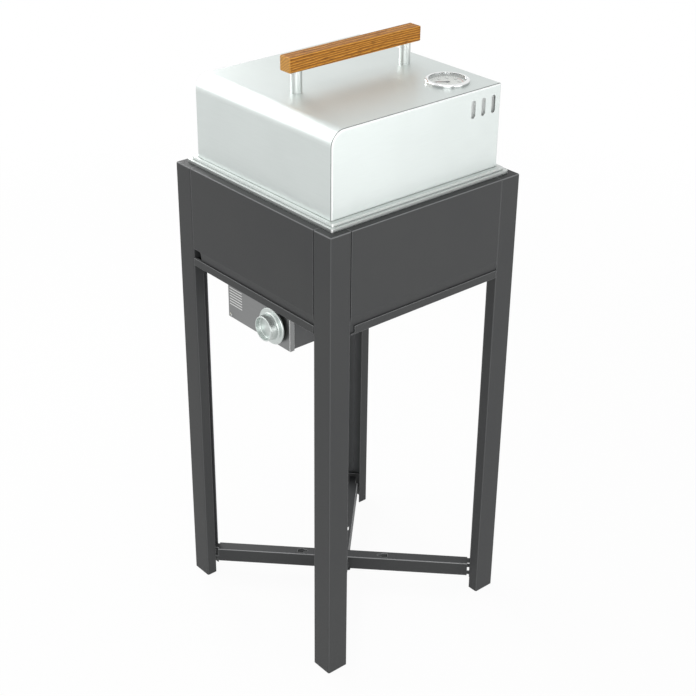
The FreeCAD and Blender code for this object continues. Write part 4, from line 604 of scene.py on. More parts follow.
@dataclass(frozen=True)
class OiledWood(Finish):
    """Oiled hardwood bar, sawn with the grain along it: growth rings, pores and darker late wood."""

    late: str = "#5A3008"
    pale: str = "#D2943E"
    middle: str = "#8F5814"
    # Colours of the painted light on the ends and of the painted highlight on the long corners.
    end: str = "#EDB96E"
    arris: str = "#E0A650"
    pith: tuple[float, float, float] = (0.034, 0.0, 1.040)
    ring_mm: float = 4.0
    end_share: float = 0.4
    arris_share: float = 0.4

    sheen = 0.2
    edge_mm = 0.6

    def dress(self, tree: bpy.types.NodeTree, shader: bpy.types.Node) -> None:
        """Rings round a pith beside the bar, wavering along its length, with pores between them."""
        here = self.coordinates(tree, Vector(self.pith))
        waver = noise(tree, self.coordinates(tree, stretch=(1.0, 0.1, 1.0)), size_mm=24.0, detail=3.0)
        radius = reckon_vector(tree, "LENGTH", reckon_vector(tree, "MULTIPLY", here, (1.0, 0.035, 1.0)))
        drift = reckon(tree, "MULTIPLY", waver, 3.0 * self.ring_mm * MM)
        count = reckon(tree, "MULTIPLY", reckon(tree, "ADD", radius, drift), per(self.ring_mm))
        ramp = add_node(tree, "ShaderNodeValToRGB", inputs={"Fac": reckon(tree, "FRACT", count)})
        set_stops(ramp, [
            (0.0, self.pale), (0.35, self.colour), (0.72, self.middle), (0.9, self.late), (1.0, self.pale)])
        # Pores are about 0.2 mm wide and a few millimetres long, and are drawn at 0.5 mm so that they show.
        pores = noise(tree, self.coordinates(tree, stretch=(1.0, 0.06, 1.0)), size_mm=0.9)
        stained = mixed(tree, ranged(tree, pores, 0.5, 0.66, 0.0, 0.7), ramp.outputs["Color"], self.late)
        # The ends are painted lighter than the sides, as painted light, and the long corners get a painted
        # highlight, which gives the bar its form.
        normal = face_normal(tree)
        facing = parts_of(tree, reckon_vector(tree, "MULTIPLY", normal, normal))
        ends_painted_light = mixed(tree, ranged(tree, facing["Y"], 0.5, 0.95, 0.0, self.end_share), stained, self.end)
        painted_arris_highlight = reckon(tree, "MULTIPLY", self.bends(tree, 1.0), self.arris_share)
        tree.links.new(mixed(tree, painted_arris_highlight, ends_painted_light, self.arris), shader.inputs["Base Color"])
        self.vary(tree, shader, pores, spread=0.08)
        self.relief(tree, shader, pores, depth_mm=-0.05)


@dataclass(frozen=True)
class GlazedCeramic(Finish):
    """Glazed electrode ceramic: warm white, glossy, with a faint grey speckle."""

    speck: str = "#B9B5AA"

    def dress(self, tree: bpy.types.NodeTree, shader: bpy.types.Node) -> None:
        """Speckle under a slightly wavy glaze."""
        here = self.coordinates(tree)
        chosen = ranged(tree, noise(tree, here, size_mm=0.8), 0.62, 0.74, 0.0, 0.6)
        tree.links.new(mixed(tree, chosen, self.colour, self.speck), shader.inputs["Base Color"])
        self.relief(tree, shader, noise(tree, here, size_mm=4.0), depth_mm=0.02)


@dataclass(frozen=True)
class PrintedEnamel(Finish):
    """Stoved dial paint or printing ink: matt, with the faint tooth of a screen print."""

    shade: str = "#EDEDE8"

    edge_mm = 0.1

    def dress(self, tree: bpy.types.NodeTree, shader: bpy.types.Node) -> None:
        """Fine tooth in colour and relief."""
        # The tooth of the print is under 0.1 mm and is drawn at 0.4 mm so that it shows.
        tooth = noise(tree, self.coordinates(tree), size_mm=0.4)
        self.blend(tree, shader, tooth, self.colour, self.shade)
        self.vary(tree, shader, tooth, spread=0.05)
        self.relief(tree, shader, tooth, depth_mm=0.004)


@dataclass(frozen=True)
class PointerPaint(Finish):
    """Painted pointer: black at the hub, deep red along the blade."""

    blade: str = "#6A1018"
    hub: tuple[float, float, float] = (0.0, 0.0, 0.0)

    edge_mm = 0.1

    def dress(self, tree: bpy.types.NodeTree, shader: bpy.types.Node) -> None:
        """Colour by the distance from the hub, with a faint brushed-on film."""
        here = self.coordinates(tree, Vector(self.hub))
        share = ranged(tree, reckon_vector(tree, "LENGTH", here), 7.0 * MM, 12.0 * MM)
        tree.links.new(mixed(tree, share, self.colour, self.blade), shader.inputs["Base Color"])
        film = noise(tree, here, size_mm=1.2)
        self.vary(tree, shader, film, spread=0.08)
        self.relief(tree, shader, film, depth_mm=0.01)


@dataclass(frozen=True)
class GaugeGlass(Finish):
    """Thin flat gauge glass: clear, with a mirror-like sheen that grows at a slant."""

    face_on: float = 0.01
    slanting: float = 0.5
    wave_mm: float = 0.01

    def dress(self, tree: bpy.types.NodeTree, shader: bpy.types.Node) -> None:
        """Clear where it is looked through and glossy by its angle, so that the dial stays lit."""
        wave = noise(tree, self.coordinates(tree), size_mm=20.0, detail=1.0)
        bump = add_node(tree, "ShaderNodeBump", inputs={
            "Strength": 1.0, "Distance": self.wave_mm * MM, "Height": wave})
        facing = add_node(tree, "ShaderNodeLayerWeight", inputs={
            "Blend": 0.5, "Normal": bump.outputs["Normal"]})
        steep = reckon(tree, "POWER", facing.outputs["Facing"], 5.0)
        sheen = ranged(tree, steep, 0.0, 1.0, self.face_on, self.slanting)
        clear = add_node(tree, "ShaderNodeBsdfTransparent", inputs={"Color": linear(self.colour)})
        gloss = add_node(tree, "ShaderNodeBsdfGlossy", inputs={
            "Color": WHITE, "Roughness": self.roughness, "Normal": bump.outputs["Normal"]})
        both = add_node(tree, "ShaderNodeMixShader", inputs={
            0: sheen, 1: clear.outputs["BSDF"], 2: gloss.outputs["BSDF"]})
        output = next(n for n in tree.nodes if n.bl_idname == "ShaderNodeOutputMaterial")
        tree.links.new(both.outputs["Shader"], output.inputs["Surface"])
        tree.nodes.remove(shader)


COAT = PowderCoat("Powder_coated_steel_dark_grey", "powder_coat", "#333435", 0.5, light="#363737")
# The bars are the same coat with a weaker painted shade on upward faces and a brighter painted highlight on
# edges.
BAR_COAT = PowderCoat("Powder_coated_slanting_bars", "powder_coat", "#353637", 0.5, light="#383939",
                      edge="#949596", ledge="#38393A", corner=0.0)
BOX_COAT = PowderCoat("Powder_coated_box_mid_grey", "powder_coat", "#4C4D4E", 0.5, light="#515253")
HOOD_WRAP = BrushedSheet("Brushed_stainless_hood_wrap", "hood_sheet", "#C9CFCD", 0.42, Grain.ACROSS,
                         light="#D2D8D6")
# The rim's crease colour is painted shade and its edge colour is a painted highlight.
RIM_SHEET = BrushedSheet("Satin_stainless_rim", "rim_sheet", "#BCC0BE", 0.42, Grain.ACROSS, light="#C8CCCA",
                         line_mm=0.9, crease="#5E6362", edge="#F8FAF9", edge_mm=0.6)
# Dark grey beads that stand in for the shadow in the hood's seams.
SEAM_SHADOW_BEADS = PrintedEnamel("Seam_shadow_bead_grey", "hood_sheet", "#6E7372", 0.7, shade="#7A7F7E")
ENAMEL = VitreousEnamel("Vitreous_enamel_black", "tub_enamel", "#1D1E1F", 0.16)
WOOD = OiledWood("Oiled_hardwood", "wood", "#B0741F", 0.5)
POST_STEEL = PolishedMetal("Polished_stainless_posts", "post_steel", "#C6CAC8", 0.42)
# The plate's edge colour is a painted highlight on its bends.
PANEL = BrushedSheet("Anodised_aluminium_plate_grey", "panel_sheet", "#7E7F7F", 0.4, Grain.ACROSS,
                     light="#8C8D8D", line_mm=0.8, edge="#E2E3E3", edge_mm=0.8)
ZINC = ZincPlate("Bright_zinc_plated_steel", "zinc", "#A9ABAA", 0.3)
GRATE = PolishedMetal("Electropolished_stainless_rod", "grate_rod", "#B4B6B4", 0.2, 0.07)
BURNER = HeatTintedSteel("Heat_tinted_burner_steel", "burner_steel", "#8F908D", 0.4)
PIPE = BrushedSheet("Drawn_aluminium_tube", "pipe_alu", "#B5B7B6", 0.3, Grain.UPRIGHT, light="#C6C8C7")
TRAY = BrushedSheet("Rolled_aluminium_tray", "tray_alu", "#B5B7B6", 0.38, Grain.ACROSS, light="#CACCCB")
CERAMIC = GlazedCeramic("Glazed_electrode_ceramic", "ceramic", "#E9E6DD", 0.16)
DIAL = PrintedEnamel("Stoved_dial_enamel_white", "dial", "#F2F2EE", 0.45)
DIAL_INK = PrintedEnamel("Dial_ink_black", "dial", "#2E2F31", 0.5, shade="#38393B")
ZONE_INK = PrintedEnamel("Dial_ink_rose", "dial", "#DDA9A6", 0.5, shade="#D79E9B")
PANEL_INK = PrintedEnamel("Panel_ink_white", "panel_sheet", "#E4E5E4", 0.5, shade="#DADBDA")
GLASS = GaugeGlass("Clear_gauge_glass", "gauge_glass", "#FBFCFC", 0.02)


@dataclass(frozen=True)
class Site:
    """Where one copy of a repeated shape sits, and which way its length points."""

    place: Vector
    axis: Vector = field(default_factory=lambda: Vector((0.0, 0.0, 1.0)))


class SmallParts:
    """The Geometry Nodes trees of the repeated shapes, and what turns their result into a plain mesh."""

    @staticmethod
    def new_tree(name: str, sizes: list[str], counts: list[str]) -> tuple:
        """Start a tree with named inputs.

        Args:
            name: the tree's name.
            sizes: names of its number inputs.
            counts: names of its whole number inputs.

        Returns:
            The tree, its input node and its output node.
        """
        tree = bpy.data.node_groups.new(name, "GeometryNodeTree")
        tree.interface.new_socket(name="Sites", in_out="INPUT", socket_type="NodeSocketGeometry")
        for one in sizes:
            tree.interface.new_socket(name=one, in_out="INPUT", socket_type="NodeSocketFloat")
        for one in counts:
            tree.interface.new_socket(name=one, in_out="INPUT", socket_type="NodeSocketInt")
        tree.interface.new_socket(name="Finish", in_out="INPUT", socket_type="NodeSocketMaterial")
        tree.interface.new_socket(name="Pieces", in_out="OUTPUT", socket_type="NodeSocketGeometry")
        return tree, add_node(tree, "NodeGroupInput"), add_node(tree, "NodeGroupOutput")

    @staticmethod
    def aligned(tree: bpy.types.NodeTree, side: str) -> bpy.types.NodeSocket:
        """Rotation that brings one side of a shape, X or Z, onto the axis of its site.

        Args:
            tree: the tree.
            side: the shape's own axis.

        Returns:
            The rotation.
        """
        axis = add_node(tree, "GeometryNodeInputNamedAttribute", {"data_type": "FLOAT_VECTOR"},
                        {"Name": "axis"})
        found = add_node(tree, "FunctionNodeAlignRotationToVector", {"axis": side},
                         {"Vector": axis.outputs["Attribute"]})
        return found.outputs["Rotation"]

    @classmethod
    def spun(cls, tree: bpy.types.NodeTree, seed: int) -> bpy.types.NodeSocket:
        """Rotation onto the axis of the site, with a fixed random turn about it.

        Args:
            tree: the tree.
            seed: seed of the random turn.

        Returns:
            The rotation.
        """
        turn = add_node(tree, "FunctionNodeRandomValue", {"data_type": "FLOAT"}, {
            "Min": 0.0, "Max": math.tau, "Seed": seed})
        found = add_node(tree, "FunctionNodeRotateRotation", {"rotation_space": "LOCAL"}, {
            "Rotation": cls.aligned(tree, "Z"), "Rotate By": made_of(tree, 0.0, 0.0, turn.outputs[1])})
        return found.outputs["Rotation"]

    @staticmethod
    def set_out(tree: bpy.types.NodeTree, entry: bpy.types.Node, leave: bpy.types.Node,
                shape: bpy.types.NodeSocket, rotation: bpy.types.NodeSocket) -> None:
        """Place a shape on every site and end the tree.

        Args:
            tree: the tree.
            entry: its input node.
            leave: its output node.
            shape: the geometry of one copy.
            rotation: how each copy is turned.
        """
        copies = add_node(tree, "GeometryNodeInstanceOnPoints", inputs={
            "Points": entry.outputs["Sites"], "Instance": shape, "Rotation": rotation})
        plain = add_node(tree, "GeometryNodeRealizeInstances", inputs={
            "Geometry": copies.outputs["Instances"]})
        dressed = add_node(tree, "GeometryNodeSetMaterial", inputs={
            "Geometry": plain.outputs["Geometry"], "Material": entry.outputs["Finish"]})
        tree.links.new(dressed.outputs["Geometry"], leave.inputs["Pieces"])

    @staticmethod
    def shifted(tree: bpy.types.NodeTree, shape: bpy.types.NodeSocket,
                height: bpy.types.NodeSocket) -> bpy.types.NodeSocket:
        """Move a shape up its own length.

        Args:
            tree: the tree.
            shape: the geometry to move.
            height: how far, in metres.

        Returns:
            The moved geometry.
        """
        moved = add_node(tree, "GeometryNodeTransform", inputs={
            "Geometry": shape, "Translation": made_of(tree, 0.0, 0.0, height)})
        return moved.outputs["Geometry"]

    @classmethod
    def screw_head(cls, tree: bpy.types.NodeTree, size: bpy.types.NodeOutputs,
                   place: bpy.types.NodeSocket) -> bpy.types.NodeSocket:
        """Domed head below the seat, with a hexagon socket.

        Args:
            tree: the tree.
            size: its sizes by name.
            place: the points' own places.

        Returns:
            The head's geometry.
        """
        ball = add_node(tree, "GeometryNodeMeshUVSphere", inputs={"Segments": 24, "Rings": 16, "Radius": 1.0})
        scale = made_of(tree, size["Head Radius"], size["Head Radius"], size["Head Height"])
        scaled = reckon_vector(tree, "MULTIPLY", place, scale)
        flat = reckon_vector(tree, "MINIMUM", scaled, (1.0, 1.0, 0.0))
        dome = add_node(tree, "GeometryNodeSetPosition", inputs={
            "Geometry": ball.outputs["Mesh"], "Position": flat})
        hexagon = add_node(tree, "GeometryNodeMeshCylinder", inputs={
            "Vertices": 6, "Radius": size["Socket Radius"],
            "Depth": reckon(tree, "MULTIPLY", size["Socket Depth"], 2.0)})
        top = reckon(tree, "MULTIPLY", size["Head Height"], -1.0)
        head = add_node(tree, "GeometryNodeMeshBoolean", {"operation": "DIFFERENCE"}, {
            "Mesh 1": dome.outputs["Geometry"], "Mesh 2": cls.shifted(tree, hexagon.outputs["Mesh"], top)})
        return head.outputs["Mesh"]

    @classmethod
    def screw_shank(cls, tree: bpy.types.NodeTree, size: bpy.types.NodeOutputs,
                    place: bpy.types.NodeSocket) -> bpy.types.NodeSocket:
        """Shank above the seat, with its thread as waves along it.

        Args:
            tree: the tree.
            size: its sizes by name.
            place: the points' own places.

        Returns:
            The shank's geometry.
        """
        core = add_node(tree, "GeometryNodeMeshCylinder", inputs={
            "Vertices": 16, "Side Segments": size["Thread Cuts"], "Radius": size["Shank Radius"],
            "Depth": size["Shank Length"]})
        phase = reckon(tree, "DIVIDE", parts_of(tree, place)["Z"], size["Thread Pitch"])
        wave = reckon(tree, "COSINE", reckon(tree, "MULTIPLY", phase, math.tau))
        depth = reckon(tree, "MULTIPLY", reckon(tree, "SUBTRACT", wave, 1.0), size["Thread Depth"])
        outward = reckon_vector(tree, "MULTIPLY", place, (1.0, 1.0, 0.0))
        cut = add_node(tree, "ShaderNodeVectorMath", {"operation": "SCALE"}, {
            0: reckon_vector(tree, "NORMALIZE", outward), "Scale": depth})
        thread = add_node(tree, "GeometryNodeSetPosition", inputs={
            "Geometry": core.outputs["Mesh"], "Offset": cut.outputs["Vector"]})
        half = reckon(tree, "MULTIPLY", size["Shank Length"], 0.5)
        return cls.shifted(tree, thread.outputs["Geometry"], half)

    @classmethod
    def screw_tree(cls) -> bpy.types.NodeTree:
        """Socket screw with a domed head, rolled thread and hexagon nut, one on every site.

        Returns:
            The tree.
        """
        found = bpy.data.node_groups.get("socket_screws")
        if found:
            return found
        sizes = [
            "Head Radius", "Head Height", "Socket Radius", "Socket Depth", "Shank Radius", "Shank Length",
            "Thread Pitch", "Thread Depth", "Nut Radius", "Nut Height", "Nut Place"]
        tree, entry, leave = cls.new_tree("socket_screws", sizes, ["Thread Cuts"])
        size = entry.outputs
        place = add_node(tree, "GeometryNodeInputPosition").outputs["Position"]
        head = cls.screw_head(tree, size, place)
        shank = cls.screw_shank(tree, size, place)
        nut = add_node(tree, "GeometryNodeMeshCylinder", inputs={
            "Vertices": 6, "Radius": size["Nut Radius"], "Depth": size["Nut Height"]})
        seat = reckon(tree, "MULTIPLY_ADD", size["Nut Height"], 0.5, size["Nut Place"])
        clamped = cls.shifted(tree, nut.outputs["Mesh"], seat)
        whole = add_node(tree, "GeometryNodeJoinGeometry", inputs={"Geometry": [head, shank, clamped]})
        cls.set_out(tree, entry, leave, whole.outputs["Geometry"], cls.spun(tree, 7))
        return tree

    @classmethod
    def bead_tree(cls) -> bpy.types.NodeTree:
        """Flattened weld bead on every site.

        Returns:
            The tree.
        """
        tree, entry, leave = cls.new_tree("weld_beads", ["Bead Radius", "Bead Height"], ["Bead Rings"])
        size = entry.outputs
        ball = add_node(tree, "GeometryNodeMeshIcoSphere", inputs={
            "Radius": 1.0, "Subdivisions": size["Bead Rings"]})
        bead = add_node(tree, "GeometryNodeTransform", inputs={
            "Geometry": ball.outputs["Mesh"],
            "Scale": made_of(tree, size["Bead Radius"], size["Bead Radius"], size["Bead Height"])})
        cls.set_out(tree, entry, leave, bead.outputs["Geometry"], cls.spun(tree, 3))
        return tree

    @classmethod
    def bar_tree(cls) -> bpy.types.NodeTree:
        """Thin printed bar on every site, its length along the site's axis.

        Returns:
            The tree.
        """
        found = bpy.data.node_groups.get("printed_bars")
        if found:
            return found
        tree, entry, leave = cls.new_tree("printed_bars", ["Bar Length", "Bar Width", "Bar Height"], [])
        size = entry.outputs
        bar = add_node(tree, "GeometryNodeMeshCube", inputs={
            "Size": made_of(tree, size["Bar Length"], size["Bar Width"], size["Bar Height"])})
        cls.set_out(tree, entry, leave, bar.outputs["Mesh"], cls.aligned(tree, "X"))
        return tree

    @staticmethod
    def grow(name: str, sites: list[Site], tree: bpy.types.NodeTree, values: dict,
             finish: Finish) -> bpy.types.Object:
        """Run a tree on some sites and keep its result as a plain mesh.

        Args:
            name: the new piece's name.
            sites: where the copies go.
            tree: the tree.
            values: its inputs by name.
            finish: the finish of the copies.

        Returns:
            The new piece, at the origin.
        """
        points = bpy.data.meshes.new(name + "_sites")
        points.from_pydata([tuple(s.place) for s in sites], [], [])
        axis = points.attributes.new("axis", "FLOAT_VECTOR", "POINT")
        for k, site in enumerate(sites):
            axis.data[k].vector = site.axis
        holder = bpy.data.objects.new(name + "_sites", points)
        bpy.context.scene.collection.objects.link(holder)
        modifier = holder.modifiers.new("grow", "NODES")
        modifier.node_group = tree
        wanted = dict(values, Finish=finish.material())
        for item in tree.interface.items_tree:
            if item.in_out == "INPUT" and item.name in wanted:
                modifier[item.identifier] = wanted[item.name]
        evaluated = holder.evaluated_get(bpy.context.evaluated_depsgraph_get())
        mesh = bpy.data.meshes.new_from_object(evaluated)
        mesh.name = name
        bpy.data.objects.remove(holder)
        bpy.data.meshes.remove(points)
        return linked(name, mesh, finish)


def mesh_of(name: str, shapes: bmesh.types.BMesh) -> bpy.types.Mesh:
    """Turn edited shapes to a new mesh and free them.

    Args:
        name: the mesh's name.
        shapes: what it holds.

    Returns:
        The mesh.
    """
    mesh = bpy.data.meshes.new(name)
    shapes.to_mesh(mesh)
    shapes.free()
    return mesh


def linked(name: str, mesh: bpy.types.Mesh, finish: Finish) -> bpy.types.Object:
    """Put a mesh in the scene with one finish.

    Args:
        name: the new object's name.
        mesh: its mesh, in place.
        finish: its finish.

    Returns:
        The new object, at the origin.
    """
    mesh.materials.clear()
    mesh.materials.append(finish.material())
    piece = bpy.data.objects.new(name, mesh)
    bpy.context.scene.collection.objects.link(piece)
    return piece


def settle(piece: bpy.types.Object, body: str, nodes: tuple[str, ...] = ()) -> None:
    """Hand a finished piece to the frame.

    Args:
        piece: the piece, in place.
        body: the body that it moves with.
        nodes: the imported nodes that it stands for.
    """
    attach(piece, body)
    if nodes:
        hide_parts(*nodes)
    LOG.info("made %s on %s, %d faces", piece.name, body, len(piece.data.polygons))


def dress(nodes: dict[str, bpy.types.Object], finishes: dict[str, Finish]) -> None:
    """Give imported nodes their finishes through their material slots.

    Args:
        nodes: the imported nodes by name.
        finishes: the finish of each node to dress.
    """
    for name, finish in finishes.items():
        for slot in nodes[name].material_slots:
            slot.material = finish.material()
        LOG.info("dressed %s as %s", name, finish.name)


def middle_of(node: str) -> Vector:
    """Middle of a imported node's box, in metres."""
    low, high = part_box(node)
    return (low + high) / 2


@dataclass
class SocketScrews:
    """Socket screws of one size. A nut narrower than the shank doesn't show."""

    head_radius: float = 4.6 * MM
    head_height: float = 2.7 * MM
    socket_radius: float = 1.7 * MM
    socket_depth: float = 1.6 * MM
    shank_radius: float = 2.5 * MM
    pitch: float = 0.8 * MM
    nut_radius: float = 4.4 * MM
    nut_height: float = 3.6 * MM
    past_nut: float = 0.5 * MM
    thread_share: float = 0.12
    cuts_per_turn: int = 4

    def values(self, grip: float, length: float = 0.0) -> dict:
        """Inputs of the screw tree.

        Args:
            grip: distance from the head's seat to the nut, in metres.
            length: length of the shank; without it, the shank ends just past the nut.

        Returns:
            Input values by name.
        """
        length = length or grip + self.nut_height + self.past_nut
        return {
            "Head Radius": self.head_radius, "Head Height": self.head_height,
            "Socket Radius": self.socket_radius, "Socket Depth": self.socket_depth,
            "Shank Radius": self.shank_radius, "Shank Length": length,
            "Thread Pitch": self.pitch, "Thread Depth": self.thread_share * self.pitch,
            "Nut Radius": self.nut_radius, "Nut Height": self.nut_height, "Nut Place": grip,
            "Thread Cuts": int(self.cuts_per_turn * length / self.pitch)}


@dataclass
class FoldedStand:
    """Four lipped legs, four aprons, the floor pan and the crossed braces, with their screws."""

    body: str = "stand"
    flange: float = 43.0 * MM
    sheet: float = 2.0 * MM
    apron_sheet: float = 1.5 * MM
    seam: float = 0.4 * MM
    screw_edge: float = 10.0 * MM
    screw_from_top: float = 28.0 * MM
    screw_spacing: float = 90.0 * MM
    cleat_inset: float = 28.0 * MM
    cleat_sheet: float = 1.5 * MM
    tab_drop: float = 20.0 * MM

    def corners(self) -> list[tuple[Vector, Vector, Vector]]:
        """Outer corner of each leg, and the two ways along its flanges.

        Returns:
            Corner, first way and second way, with the first turned onto the second anticlockwise.
        """
        found = []
        ways = [Vector((1, 0, 0)), Vector((0, 1, 0)), Vector((-1, 0, 0)), Vector((0, -1, 0))]
        for k, name in enumerate(("leg_front_left", "leg_front_right", "leg_back_right", "leg_back_left")):
            low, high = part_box(name)
            x = low.x if k in (0, 3) else high.x
            y = low.y if k in (0, 1) else high.y
            found.append((Vector((x, y, 0.0)), ways[k], ways[(k + 1) % 4]))
        return found

    def apron_screws(self) -> bpy.types.Object:
        """Screws through the leg lips and the aprons' side flanges.

        Returns:
            The piece.
        """
        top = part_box("leg_front_left")[1].z - self.screw_from_top
        sites = []
        for corner, one, two in self.corners():
            for z in (top, top - self.screw_spacing):
                up = Vector((0.0, 0.0, z))
                reach = self.flange - self.sheet
                sites.append(Site(corner + one * reach + two * self.screw_edge + up, one))
                sites.append(Site(corner + two * reach + one * self.screw_edge + up, two))
        values = SocketScrews().values(self.sheet + self.seam + self.apron_sheet)
        return SmallParts.grow("apron_socket_screws", sites, SmallParts.screw_tree(), values, ZINC)

    def brace_screws(self) -> list[bpy.types.Object]:
        """Screws at the bar ends, and the long one down through the crossing.

        Returns:
            The two pieces.
        """
        low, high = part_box("brace_bar_a")
        middle = (low + high) / 2
        z = high.z - self.tab_drop / 2 - self.cleat_sheet / 2
        ends = []
        for corner, one, two in self.corners():
            inner = corner + (one + two) * (self.sheet + self.cleat_inset / 2)
            outward = (Vector((corner.x, corner.y, 0.0)) - Vector((middle.x, middle.y, 0.0))).normalized()
            start = Vector((inner.x, inner.y, z)) - outward * self.cleat_sheet
            ends.append(Site(start, outward))
        values = SocketScrews().values(2 * self.cleat_sheet)
        outer = SmallParts.grow("brace_end_screws", ends, SmallParts.screw_tree(), values, ZINC)
        crossing = [Site(Vector((middle.x, middle.y, high.z)), Vector((0.0, 0.0, -1.0)))]
        values = SocketScrews().values(high.z - low.z + self.cleat_sheet)
        inner = SmallParts.grow("brace_crossing_screw", crossing, SmallParts.screw_tree(), values, ZINC)
        return [outer, inner]

    def build(self, nodes: dict[str, bpy.types.Object]) -> None:
        """Dress the sheet parts and make the screws."""
        names = [n for n in nodes if n.startswith(("leg_", "apron_")) and not n.endswith("screws")]
        dress(nodes, {name: COAT for name in names + ["base_pan"]})
        dress(nodes, {n: BAR_COAT for n in nodes if n.startswith("brace_") and not n.endswith("screws")})
        settle(self.apron_screws(), self.body, ("apron_screws",))
        for piece in self.brace_screws():
            settle(piece, self.body, ("brace_screws",))


@dataclass
class GrillTub:
    """Rim, enamelled tub, grate, flame tamer, burner with its gas train, electrode and drip tray."""

    body: str = "stand"
    rod_pitch: float = 15.0 * MM
    rod_radius: float = 2.5 * MM
    bead_radius: float = 2.3 * MM
    bead_height: float = 1.1 * MM
    cross_rod: float = 100.0 * MM

    def weld_beads(self) -> bpy.types.Object:
        """Weld beads where the grate's rods cross.

        Returns:
            The piece.
        """
        low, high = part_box("cooking_grate")
        middle = (low + high) / 2
        z = high.z - 2 * self.rod_radius
        count = int((middle.x - low.x - self.rod_radius) // self.rod_pitch)
        sites = []
        for k in range(-count, count + 1):
            for y in (-self.cross_rod, self.cross_rod):
                sites.append(Site(Vector((middle.x + k * self.rod_pitch, middle.y + y, z))))
        values = {"Bead Radius": self.bead_radius, "Bead Height": self.bead_height, "Bead Rings": 2}
        return SmallParts.grow("grate_weld_beads", sites, SmallParts.bead_tree(), values, GRATE)

    def build(self, nodes: dict[str, bpy.types.Object]) -> None:
        """Dress the tub's parts and make the weld beads."""
        jet = TurnedMetal("Machined_brass_jet", "valve_brass", "#B08B4A", 0.3, Turning.FRONT,
                          tuple(middle_of("gas_jet")), light="#C39D5B")
        dress(nodes, {
            "grill_rim": RIM_SHEET, "firebox": ENAMEL, "cooking_grate": GRATE, "flame_tamer": BURNER,
            "tamer_brackets": BURNER, "burner_tube": BURNER, "burner_bracket": BURNER, "jet_cup": BURNER,
            "gas_jet": jet, "gas_pipe": PIPE, "igniter_electrode": CERAMIC, "drip_tray": TRAY})
        settle(self.weld_beads(), self.body)


@dataclass
class ControlBox:
    """Hanging box with its face plate, valve, inlet, turned knob and screws."""

    body: str = "stand"
    sheet: float = 1.2 * MM
    valve_screw_spacing: float = 30.0 * MM
    plate_screw_length: float = 8.0 * MM
    valve_screw_length: float = 5.2 * MM
    hidden_nut_place: float = 1.0 * MM
    rule_count: int = 9
    rule_spacing: float = 5.2 * MM
    rule_length: float = 36.0 * MM
    rule_width: float = 1.7 * MM
    rule_film: float = 0.1 * MM
    rule_inset: float = 4.5 * MM

    def box_screws(self) -> bpy.types.Object:
        """Screws through the box's flanges and the floor pan.

        Returns:
            The piece.
        """
        low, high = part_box("box_screws")
        inset = SocketScrews().head_radius
        sites = []
        for x in (low.x + inset, high.x - inset):
            for y in (low.y + inset, high.y - inset):
                sites.append(Site(Vector((x, y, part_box("control_box")[1].z - self.sheet))))
        values = SocketScrews().values(2 * self.sheet)
        return SmallParts.grow("box_socket_screws", sites, SmallParts.screw_tree(), values, ZINC)

    def plate_screws(self) -> list[tuple[bpy.types.Object, str]]:
        """Small screws on the face plate: one in its corner and two at the valve.

        Returns:
            Each piece with the node that it stands for.
        """
        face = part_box("control_panel")[0].y
        corner = middle_of("panel_screw")
        valve = middle_of("valve_screws")
        forward = Vector((0.0, 1.0, 0.0))
        small = SocketScrews(
            head_radius=4.0 * MM, head_height=2.15 * MM, socket_radius=1.5 * MM, socket_depth=1.2 * MM,
            shank_radius=1.5 * MM, pitch=0.5 * MM, nut_radius=1.4 * MM, nut_height=1.0 * MM)
        made = []
        for name, node, sites, length in (
                ("plate_corner_screw", "panel_screw", [Vector((corner.x, face, corner.z))],
                 self.plate_screw_length),
                ("valve_socket_screws", "valve_screws",
                 [Vector((valve.x + way * self.valve_screw_spacing / 2, face, valve.z)) for way in (-1, 1)],
                 self.valve_screw_length)):
            piece = SmallParts.grow(name, [Site(s, forward) for s in sites], SmallParts.screw_tree(),
                                    small.values(self.hidden_nut_place, length), ZINC)
            made.append((piece, node))
        return made

    def printed_rules(self) -> bpy.types.Object:
        """Plain white rules printed in the plate's upper left corner.

        Returns:
            The piece.
        """
        low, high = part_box("control_panel")
        sites = []
        for k in range(self.rule_count):
            z = high.z - self.rule_inset - k * self.rule_spacing
            sites.append(Site(Vector((low.x + self.rule_inset + self.rule_length / 2, low.y, z)),
                              Vector((1.0, 0.0, 0.0))))
        values = {"Bar Length": self.rule_length, "Bar Width": self.rule_film, "Bar Height": self.rule_width}
        return SmallParts.grow("plate_printed_rules", sites, SmallParts.bar_tree(), values, PANEL_INK)

    def build(self, nodes: dict[str, bpy.types.Object]) -> None:
        """Dress the box's parts, the valve and the knob, and make the screws."""
        axis = tuple(middle_of("knob"))
        knob = TurnedMetal("Satin_nickel_plated_knob", "knob_finish", "#C1C5C3", 0.42, Turning.FRONT, axis,
                           light="#CBD3D0")
        brass = TurnedMetal("Machined_brass_valve", "valve_brass", "#B08B4A", 0.3, Turning.FRONT, axis,
                            light="#C39D5B", ring_mm=0.7)
        dress(nodes, {
            "control_box": BOX_COAT, "control_panel": PANEL, "knob": knob, "valve_stem": ZINC,
            "gas_valve": brass, "valve_plug": brass, "gas_inlet": brass})
        settle(self.box_screws(), self.body, ("box_screws",))
        for piece, node in self.plate_screws():
            settle(piece, self.body, (node,))
        settle(self.printed_rules(), self.body)


